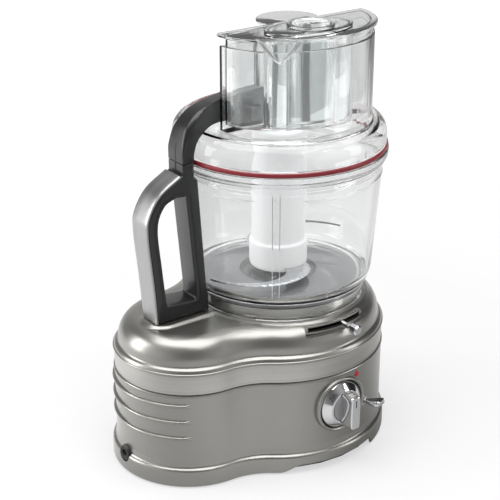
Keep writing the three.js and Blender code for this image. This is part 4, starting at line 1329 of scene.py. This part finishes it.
@dataclass
class ChoppingBlade:
    """The frosted hub and its two serrated arms."""

    hub: tuple[float, float, float, float] = (190.0, 219.0, 344.0, 18.5)
    hub_r: float = 31.0
    upper_r: float = 28.6
    reach: float = 90.0
    sweep: float = -97.0
    width: float = 17.0
    teeth: int = 24
    tooth_depth: float = 1.5
    arms: tuple = (("arm_lower", "blade_lower", 193, 280, 0.6),    # name, node, height, first angle, slant
                   ("arm_upper", "blade_upper", 209, 100, 3.6))

    def build(self) -> None:
        """Makes the hub and both arms."""
        low, step, high, bore = self.hub
        table = [(0, 216, 0), (bore, 216, 0.8), (bore, low, 0.8), (self.hub_r - 1, low, 2),
                 (self.hub_r, low + 4, 2.5), (self.hub_r, step, 1.4), (self.upper_r, step + 2.4, 1.4),
                 (self.upper_r - 1, high - 2, 2.5), (self.upper_r - 4.5, high, 2.5), (8, high, 1),
                 (7, high - 1.5, 1), (0, high - 1.5, 0)]
        deliver(piece("hub", Shape().turned(to_axis(table), 96, closed=False)), FROSTED_GLOW, "blade", "blade_hub")
        for name, node, z, start, slant in self.arms:
            deliver(piece(name, self.arm(z, math.radians(start), slant), 25), EDGE_STEEL, "blade", node)

    def arm(self, z: float, start: float, slant: float) -> Shape:
        """One arm: the radius grows evenly with t, the angle sweeps back with t^1.5, the width with 1 - t^2.

        The convex edge is thin and scalloped: each tooth bites inward by the square of a sine.

        Args:
            z: Height of the arm.
            start: Angle at the hub in radians.
            slant: How much lower than the middle the toothed edge is at the root.

        Returns:
            The arm.
        """
        t = np.linspace(0, 1, self.teeth * 8 + 1)[:, None]
        root = self.hub_r - 6
        r = root + (self.reach - root) * t
        angle = start + math.radians(self.sweep) * t**1.5
        lean = self.width * (1 - t**2) / r
        toothed = step_up(t, 0.08, 0.14) * (1 - step_up(t, 0.9, 1.0))
        bite = self.tooth_depth * np.sin(math.pi * self.teeth * t) ** 2 * toothed / r
        share = np.array([[-1.0, -0.2, 0.55, 1.0, 1.0, 0.55, -0.2, -1.0]])
        height = np.array([[2.0, 2.0, 2.0, 0.75, 0.45, 0.0, 0.0, 0.0]])
        at = angle + share * lean - bite * (share == 1.0)
        lift = z + height - slant * share * (1 - t**2)
        points = np.stack([r * np.cos(at), r * np.sin(at), lift], -1)
        return Shape().tapered(points)


# ---------------------------------------------------------------- lid


@dataclass
class FeedTube:
    """The feed tube in plan: half an ellipse towards the front with a flat back."""

    x: float = 9.0
    y: float = -8.0
    a: float = 89.0
    b: float = 74.0
    steps: int = 120

    def loop(self, inset: float, corner: float = 2.0) -> Array:
        """The tube's outline moved inward, with its two corners rounded.

        Args:
            inset: Distance inward.
            corner: Length trimmed off each side of the two corners.

        Returns:
            The closed outline.
        """
        lift = math.asin(inset / (self.b - inset))
        angle = np.linspace(math.pi + lift, 2 * math.pi - lift, self.steps + 1)
        across = self.x + (self.a - inset) * np.cos(angle)
        depth = np.minimum(self.y + (self.b - inset) * np.sin(angle), self.y - inset)
        trims = np.full(self.steps + 1, 0.01)
        trims[[0, -1]] = corner
        thinned = np.stack([across, depth], 1)
        keep = np.ones(len(thinned), bool)
        keep[[1, 2, -2, -3]] = False
        return rounded(thinned[keep], trims[keep], 3)


@dataclass
class Lid:
    """The clear lid with its dome, feed tube and column, and the red seal under its rim."""

    tube: FeedTube = field(default_factory=FeedTube)
    low: float = 331.0
    rim: float = 111.4
    top: float = 355.0
    plate: float = 351.8
    spigot: tuple[float, float] = (103.4, 304.0)
    groove: float = 98.0
    tube_wall: float = 2.6
    tube_rim: float = 441.4
    column: tuple[float, float, float, float] = (9.0, 1.0, 33.0, 440.0)
    column_wall: float = 2.2

    def build(self) -> None:
        """Makes the moulding and the seal."""
        self.moulding()
        low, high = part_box("lid_seal")
        r, z0, z1 = (high.x - low.x) / 2 / MM, low.z / MM, high.z / MM
        section = rounded([(r - 3.6, z0), (r - 0.2, z0), (r, z1 - 1), (r - 0.6, z1), (r - 3.6, z1)], 0.8)
        deliver(piece("seal_ring", Shape().turned(section, 160)), SEAL, "lid", "lid_seal")

    def moulding(self) -> None:
        """The dome turned round the axis, joined to the tube and the column, with both bored through."""
        r, g, top = self.rim, self.groove, self.top
        inner, spigot_low = self.spigot[0] - 2.4, self.spigot[1]
        table = np.array([
            (0, self.plate, 0), (inner - 3, self.plate, 1), (inner, self.plate - 3, 2),
            (inner, spigot_low, 0.8), (inner + 2.4, spigot_low, 0.8), (inner + 2.4, self.low, 0.6),
            (r, self.low, 0.6), (r, 341, 4), (r - 2, 348, 4), (r - 6.5, 353.4, 3), (g + 2.2, top + 0.4, 1),
            (g + 0.9, top - 2.0, 0.8), (g - 0.9, top - 2.0, 0.8), (g - 2.2, top + 0.2, 1),
            (60, top + 1.4, 20), (0, top + 1.4, 0)])
        lid = piece("lid", Shape().turned(to_axis(table), 160, closed=False))
        tube = piece("tube", Shape().slab(self.tube.loop(0), self.plate + 0.6, self.tube_rim, 1.1))
        x, y, radius, high = self.column
        column = piece("column", Shape().slab(oval(x, y, radius, radius), self.plate + 0.7, high, 1.0))
        front = np.array([(-80, self.tube.y - 1.2), (80, self.tube.y - 1.2), (80, -120), (-80, -120)])
        merged(column, [piece("cut_front", Shape().slab(front, self.plate - 5, high + 5, 0.01))], Merge.CUT)
        merged(lid, [tube, column], Merge.JOIN)
        bore = piece("cut_bore", Shape().slab(self.tube.loop(self.tube_wall, 1.2), self.plate - 4,
                                              self.tube_rim + 4, 0.01))
        inside = radius - self.column_wall
        hollow = piece("cut_hollow", Shape().slab(oval(x, y, inside, inside), top + 1.4, high + 4, 0.01))
        behind = np.array([(-80, self.tube.y - 0.1), (80, self.tube.y - 0.1), (80, -120), (-80, -120)])
        merged(hollow, [piece("cut_behind", Shape().slab(behind, self.plate - 5, high + 9, 0.01))],
               Merge.CUT)
        merged(lid, [bore, hollow], Merge.CUT)
        deliver(lid, CLEAR, "lid", "lid_shell")


@dataclass
class LidArm:
    """The black arm that rises from the handle, bends over the lid and ends in a block at the column."""

    half: float = 14.0
    start: float = 330.6
    top: tuple = ((-127.5, 330.6), (-126.8, 347), (-119.5, 367), (-100, 381.5), (-60, 390), (-26, 392.8))
    under: tuple = ((-113.8, 330.6), (-112.4, 342), (-106.4, 353.6), (-88, 362.4), (-60, 364.4),
                    (-26, 364.6))
    clear_of_tube: float = -7.3
    side_edge: float = 1.6             # edge radius where the arm starts, and how much rounder it becomes
    crown_gain: float = 5.0
    lower_edge: float = 2.0
    block: tuple[float, float, float, float] = (-54.0, -26.2, 356.8, 380.0)    # along X, then up
    line_half: float = 0.7
    line_proud: float = 0.22

    def build(self) -> None:
        """Carries a section that starts flat and becomes crowned, and sets the block under its end."""
        steps = 20
        top, under = smooth(self.top, steps), smooth(self.under, steps)
        along = np.linspace(0, 1, len(top))[:, None]
        tall = np.linalg.norm(top - under, axis=1)[:, None]
        crown = self.side_edge + self.crown_gain * step_up(along, 0.12, 0.5)
        corner = np.radians(np.linspace(0, 90, 8))[None, :]
        y, q = [], []
        plain = np.full_like(crown, self.lower_edge)
        for side, edge, r in [(1, 1, crown), (-1, 1, crown), (-1, 0, plain), (1, 0, plain)]:
            angle = corner if side * (1 if edge else -1) > 0 else corner[:, ::-1]
            rise = np.sin(angle)
            y.append(side * (self.half - r + r * np.cos(angle)))
            q.append(tall - r + r * rise if edge else r - r * rise)
        y, q = np.concatenate(y, 1), np.concatenate(q, 1)
        direction = (top - under) / tall
        across = under[:, None] + q[..., None] * direction[:, None]
        free = -self.half + (self.clear_of_tube + self.half) * step_up(across[..., 0], -116, -85)
        points = np.stack([across[..., 0], np.maximum(y, free), across[..., 1]], -1)
        shape = Shape().tapered(points)
        x0, x1, low, high = self.block
        corners = [(x0, self.clear_of_tube), (x1, self.clear_of_tube), (x1, self.half), (x0, self.half)]
        shape.slab(rounded(corners, 1.5), low, high, 0.8)
        deliver(piece("arm", shape), BLACK, "lid", "lid_arm")
        self.mark()

    def mark(self) -> None:
        """The alignment line on the outer face, cut in two where the lid leaves the bowl."""
        face = smooth(self.top, 20)
        face = face[(face[:, 1] > self.start + 0.3) & (face[:, 1] < 350)]
        below = np.array([(-127.7, 322), (-127.7, 329.4)])
        for body, name, line in [("lid", "line_upper", face), ("bowl", "line_lower", below)]:
            strip = np.concatenate([line - (self.line_proud, 0), (line + (1.1, 0))[::-1]])
            shape = Shape().slab(strip, -self.line_half, self.line_half, 0.05, plane=Plane.SIDE)
            deliver(piece(f"align_{name}", shape), INK, body)


# ---------------------------------------------------------------- pushers


@dataclass
class Pushers:
    """Three nested food pushers: the large one fills the tube, the others stand in it."""

    tube: FeedTube = field(default_factory=FeedTube)
    clearance: float = 4.1
    wall: float = 2.0
    low: float = 362.0
    plate: float = 450.0
    top: float = 453.4
    overhang: float = 2.3
    centre: tuple[float, float] = (2.0, -44.0)
    reach: tuple[float, float] = (48.0, 27.0)
    small: tuple[float, float, float] = (4.0, -44.0, 21.4)
    flange: float = 453.9
    flange_top: float = 456.1
    lobe: tuple[float, float, float] = (12.0, 2.0, 33.4)
    spout_angle: float = 230.0
    # half-width, depth, tip, and 1 for the inner sheet
    spout_sheets: tuple = ((24.0, 14.0, 430.2, 0.0), (21.6, 11.8, 433.6, 1.0))
    cup_low: float = 364.0
    plug: tuple[float, float, float] = (366.0, 456.7, 458.8)    # underside, rim's underside, rim

    def build(self) -> None:
        """Makes the three pushers and the two dark bars behind them."""
        self.large()
        self.bars()
        self.medium()
        self.inner()

    def large(self) -> None:
        """A D-shaped skirt and an oval sleeve under one plate, with a lobe over the lid's column."""
        (cx, cy), (a, b) = self.centre, self.reach
        wall, low = self.wall, self.low
        outer, inner = self.tube.loop(self.clearance, 2), self.tube.loop(self.clearance + wall, 1.5)
        skirt = piece("pusher_large", Shape().slab(outer, low, self.plate + 1, 0.7, (inner,)))
        outer, inner = oval(cx, cy, a + wall, b + wall, 120), oval(cx, cy, a, b, 120)
        sleeve = piece("sleeve", Shape().slab(outer, low, self.plate + 1.2, 0.7, (inner,)))
        plate = piece("plate", Shape().slab(self.tube.loop(-self.overhang, 3), self.plate, self.top, 1.0))
        x, y, r = self.lobe
        lobe = piece("lobe", Shape().slab(oval(x, y, r, r), self.plate + 0.3, self.top - 0.15, 0.9))
        merged(skirt, [sleeve, plate, lobe], Merge.JOIN)
        merged(skirt, [piece("cut_oval", Shape().slab(inner, low - 4, self.top + 4, 0.01))], Merge.CUT)
        deliver(skirt, CLEAR, "large_pusher", "large_pusher")

    def bars(self) -> None:
        """The two dark bars: upright strips with rounded corners."""
        for node in ("pusher_bar_left", "pusher_bar_right"):
            low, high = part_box(node)
            x0, x1 = (low.x - AXIS[0]) / MM, (high.x - AXIS[0]) / MM
            y0, y1 = (low.y - AXIS[1]) / MM, (high.y - AXIS[1]) / MM
            outline = rounded([(x0, y0), (x1, y0), (x1, y1), (x0, y1)], 1.6)
            shape = Shape().slab(outline, low.z / MM, high.z / MM, 1.2)
            deliver(piece(f"{node}_strip", shape), DARK_BAR, "large_pusher", node)

    def medium(self) -> None:
        """The medium pusher: an oval cup around a round sleeve, with a flange and a pouring lip."""
        (cx, cy), (a, b) = self.centre, self.reach
        sx, sy, r = self.small
        a, b, wall = a - 1, b - 1, self.wall
        outer, inner = oval(cx, cy, a, b, 120), oval(cx, cy, a - wall, b - wall, 120)
        cup = piece("pusher_medium", Shape().slab(outer, self.cup_low, self.flange + 1, 0.7, (inner,)))
        outer = oval(sx, sy, r + wall, r + wall)
        sleeve = piece("inner_sleeve", Shape().slab(outer, self.cup_low, self.flange + 1.2, 0.7))
        outer = oval(cx, cy, a + 3.4, b + 2.9, 120)
        flange = piece("flange", Shape().slab(outer, self.flange, self.flange_top, 0.7))
        merged(cup, [sleeve, flange, self.spout()], Merge.JOIN)
        merged(cup, [piece("cut_sleeve", Shape().slab(oval(sx, sy, r, r), 360, 470, 0.01))], Merge.CUT)
        deliver(cup, CLEAR, "medium_pusher", "medium_pusher")

    def spout(self) -> bpy.types.Object:
        """The pouring lip: nested half cones that taper to a rounded tip outside the tube's rim.

        Each row is a half ellipse whose half-width follows a curve from the rim down to the tip.

        Returns:
            The pouring lip, not yet joined to the pusher.
        """
        tube, angle = self.tube, math.radians(self.spout_angle)
        at = np.array([tube.x + tube.a * math.cos(angle), tube.y + tube.b * math.sin(angle)])
        facing = math.atan2(math.sin(angle) / tube.b, math.cos(angle) / tube.a)
        out = np.array([math.cos(facing), math.sin(facing)])
        aside = np.array([-out[1], out[0]])
        down = np.linspace(0, 1, 24)[:, None]
        turn = np.linspace(-math.pi / 2, math.pi / 2, 49)[None, :]
        sheets = []
        for wide, deep, tip, thick in self.spout_sheets:
            shrink = (1 - down) ** 0.85 * (1 - 0.1) + 0.1 * np.sqrt(np.clip(1 - down, 0, 1))
            half, depth = wide * shrink, deep * (0.25 + 0.75 * shrink) * np.sqrt(np.clip(1 - down**6, 0, 1))
            z = self.flange_top + 0.1 * thick - (self.flange_top - tip) * down
            back = 3.4 + thick * 0.01
            x = back + np.maximum(depth - 0.2, 0) * np.cos(turn)
            sheets.append(at + x[..., None] * out + (half * np.sin(turn))[..., None] * aside)
            sheets[-1] = np.concatenate([sheets[-1], np.broadcast_to(z[..., None], x.shape + (1,))], -1)
        outer = piece("spout", Shape().tapered(sheets[0]))
        inner = sheets[1].copy()
        inner[0, :, 2] += 0.6
        merged(outer, [piece("cut_spout", Shape().tapered(inner))], Merge.CUT)
        return outer

    def inner(self) -> None:
        """The small pusher: a round cup with a rolled rim."""
        x, y, r = self.small
        r, wall = r - 0.8, self.wall
        low, under, rim = self.plug
        table = [(0, low, 0), (r, low, 1.2), (r, under, 0.5), (r + 3.4, under, 0.6), (r + 3.4, rim, 0.9),
                 (r - wall, rim, 0.9), (r - wall, low + 2.2, 1.2), (0, low + 2.2, 0)]
        deliver(piece("pusher_small", Shape().turned(to_axis(table), 96, (x, y, 0), closed=False)), CLEAR,
                "small_pusher", "small_pusher")


# ---------------------------------------------------------------- setting


@dataclass
class Studio:
    """Pale floor, soft lamps, a white surround and the camera."""

    azimuth: float = -35.5
    elevation: float = 23.63
    distance: float = 1.3986
    lens: float = 93.6
    target: tuple[float, float, float] = (0.0164, 0.0281, 0.2026)
    bounces: int = 20
    clear_walls: int = 48              # most surfaces that light may pass straight through
    floor_half: float = 6.0
    lamps: tuple = (("overhead", (-0.15, -0.1, 1.5), (1.7, 1.3), 25),      # name, place, size, watts
                    ("left_window", (-1.2, 0.7, 0.55), (0.6, 1.0), 9),
                    ("right_window", (1.1, -1.0, 0.6), (0.4, 1.2), 5))

    def build(self) -> None:
        """Sets the stage."""
        scene = bpy.context.scene
        scene.view_settings.view_transform = "Standard"
        scene.cycles.max_bounces = scene.cycles.transmission_bounces = self.bounces
        scene.cycles.transparent_max_bounces, scene.cycles.glossy_bounces = self.clear_walls, 6
        scene.cycles.caustics_reflective = scene.cycles.caustics_refractive = False
        self.camera(scene)
        self.floor()
        self.surround(scene)
        for name, place, size, power in self.lamps:
            self.lamp(name, Vector(place), size, power)

    def camera(self, scene: bpy.types.Scene) -> None:
        """The camera, aimed at the target from its bearing, height and distance.

        Args:
            scene: The scene that is seen through it.
        """
        a, e = math.radians(self.azimuth), math.radians(self.elevation)
        back = Vector((math.sin(a) * math.cos(e), -math.cos(a) * math.cos(e), math.sin(e)))
        data = bpy.data.cameras.new("camera")
        data.lens, data.sensor_width = self.lens, 36.0
        made = bpy.data.objects.new("camera", data)
        scene.collection.objects.link(made)
        made.location = Vector(self.target) + back * self.distance
        made.rotation_euler = (-back).to_track_quat("-Z", "Y").to_euler()
        scene.camera = made

    def floor(self) -> None:
        """A wide pale floor with the faintest unevenness."""
        mesh = bpy.data.meshes.new("floor")
        far = self.floor_half
        corners = [(-far, -far, 0), (far, -far, 0), (far, far, 0), (-far, far, 0)]
        mesh.from_pydata(corners, [], [(0, 1, 2, 3)])
        made = bpy.data.objects.new("floor", mesh)
        bpy.context.scene.collection.objects.link(made)
        material = bpy.data.materials.new("floor_paper")
        hand = blank(material)
        place = hand.add("ShaderNodeTexCoord").outputs["Object"]
        x, y, _ = hand.add("ShaderNodeSeparateXYZ", {0: place}).outputs
        noise = hand.noise(place, 30.0)
        paper = hand.blend(noise, (0.32, 0.32, 0.32, 1), (0.33, 0.33, 0.33, 1))
        bounce = hand.blend(noise, (0.84, 0.84, 0.84, 1), (0.86, 0.86, 0.86, 1))
        path = hand.add("ShaderNodeLightPath").outputs
        bearing = hand.maths("ARCTAN2", y, x)
        once, thrice = self.wave(hand, bearing, 1, 125, 0.3), self.wave(hand, bearing, 3, 255, 0.25)
        cards = hand.maths("MULTIPLY", hand.maths("ADD", hand.maths("ADD", once, thrice), 0.6), 0.75,
                           clamp=True)
        away = hand.add("ShaderNodeVectorMath", {0: place}, operation="LENGTH").outputs["Value"]
        glow = hand.spread(away, 0.45, 1.8, 0.6, 1.0)
        strength = hand.maths("MULTIPLY", glow, hand.maths("SUBTRACT", 1.0, path["Is Diffuse Ray"]))
        shaded = hand.add("ShaderNodeMix", {0: path["Is Glossy Ray"], 2: strength, 3: cards}).outputs[0]
        surface = hand.add("ShaderNodeBsdfPrincipled", {
            "Base Color": hand.blend(path["Is Diffuse Ray"], paper, bounce), "Roughness": 0.8,
            "Specular IOR Level": 0.1, "Emission Color": (1, 1, 1, 1), "Emission Strength": shaded})
        hand.add("ShaderNodeOutputMaterial", {0: surface.outputs[0]})
        mesh.materials.append(material)

    def wave(self, hand: Nodes, bearing: object, count: int, peak: float,
             size: float) -> bpy.types.NodeSocket:
        """A cosine of the bearing round the machine, with peaks counted from the given degrees."""
        turned = hand.maths("MULTIPLY", hand.maths("SUBTRACT", bearing, math.radians(peak)), count)
        return hand.maths("MULTIPLY", hand.maths("COSINE", turned), size)

    def surround(self, scene: bpy.types.Scene) -> None:
        """White where it is seen or shines through, light and dark cards where it is mirrored.

        Args:
            scene: The scene that it surrounds.
        """
        world = bpy.data.worlds.new("surround")
        scene.world = world
        hand = blank(world)
        direction = hand.add("ShaderNodeTexCoord").outputs["Generated"]
        x, y, up = hand.add("ShaderNodeSeparateXYZ", {0: direction}).outputs
        bearing = hand.maths("ARCTAN2", y, x)
        cards = hand.maths("ADD", self.wave(hand, bearing, 3, 54.5, 0.35),
                           self.wave(hand, bearing, 1, 160, 0.2))
        level = hand.maths("MAXIMUM", hand.maths("ADD", cards, 0.5), 0.03)
        ramp = hand.maths("MULTIPLY", level, hand.spread(up, 0.0, 0.8, 1.0, 0.55))
        soft = hand.blend(ramp, (0.0, 0.0, 0.0, 1), (1.0, 1.0, 1.0, 1))
        path = hand.add("ShaderNodeLightPath").outputs
        seen = hand.maths("MAXIMUM", path["Is Camera Ray"], path["Is Transmission Ray"])
        colour = hand.blend(seen, soft, (1.0, 1.0, 1.0, 1))
        sky = hand.add("ShaderNodeBackground", {0: colour, 1: 1.0})
        hand.add("ShaderNodeOutputWorld", {0: sky.outputs[0]})

    def lamp(self, name: str, place: Vector, size: tuple[float, float], power: float) -> None:
        """A soft rectangular lamp that looks at the middle of the machine.

        Args:
            name: The lamp's name.
            place: Where it stands.
            size: Width and height of its panel.
            power: Its power in watts.
        """
        data = bpy.data.lights.new(name, "AREA")
        data.shape, data.size, data.size_y, data.energy = "RECTANGLE", size[0], size[1], power
        made = bpy.data.objects.new(name, data)
        bpy.context.scene.collection.objects.link(made)
        made.location = place
        made.rotation_euler = (Vector((0, 0, 0.2)) - place).to_track_quat("-Z", "Y").to_euler()


def dress_frame() -> None:
    """Gives every CAD node that still shows the finish of its slot."""
    slots = {row["node"]: row["material_slot"] for row in frame["record"]["subparts"]}
    for name, node in frame["nodes"].items():
        if not node.hide_render:
            node.data.materials.clear()
            node.data.materials.append(CAD_FINISHES[slots[name]].material())
            log.info("%-24s keeps its CAD shape in %s", name, slots[name])


def main() -> None:
    """Builds the sub-assemblies in order."""
    logging.basicConfig(level=logging.INFO, format="%(message)s")
    Studio().build()
    for part in (CastBase(), Controls(), SliceAdjuster(), BowlDrive(), WorkBowl(), Handle(),
                 ChoppingBlade(), Lid(),
                 LidArm(), Pushers()):
        part.build()
    dress_frame()


if __name__ == "__main__":
    main()
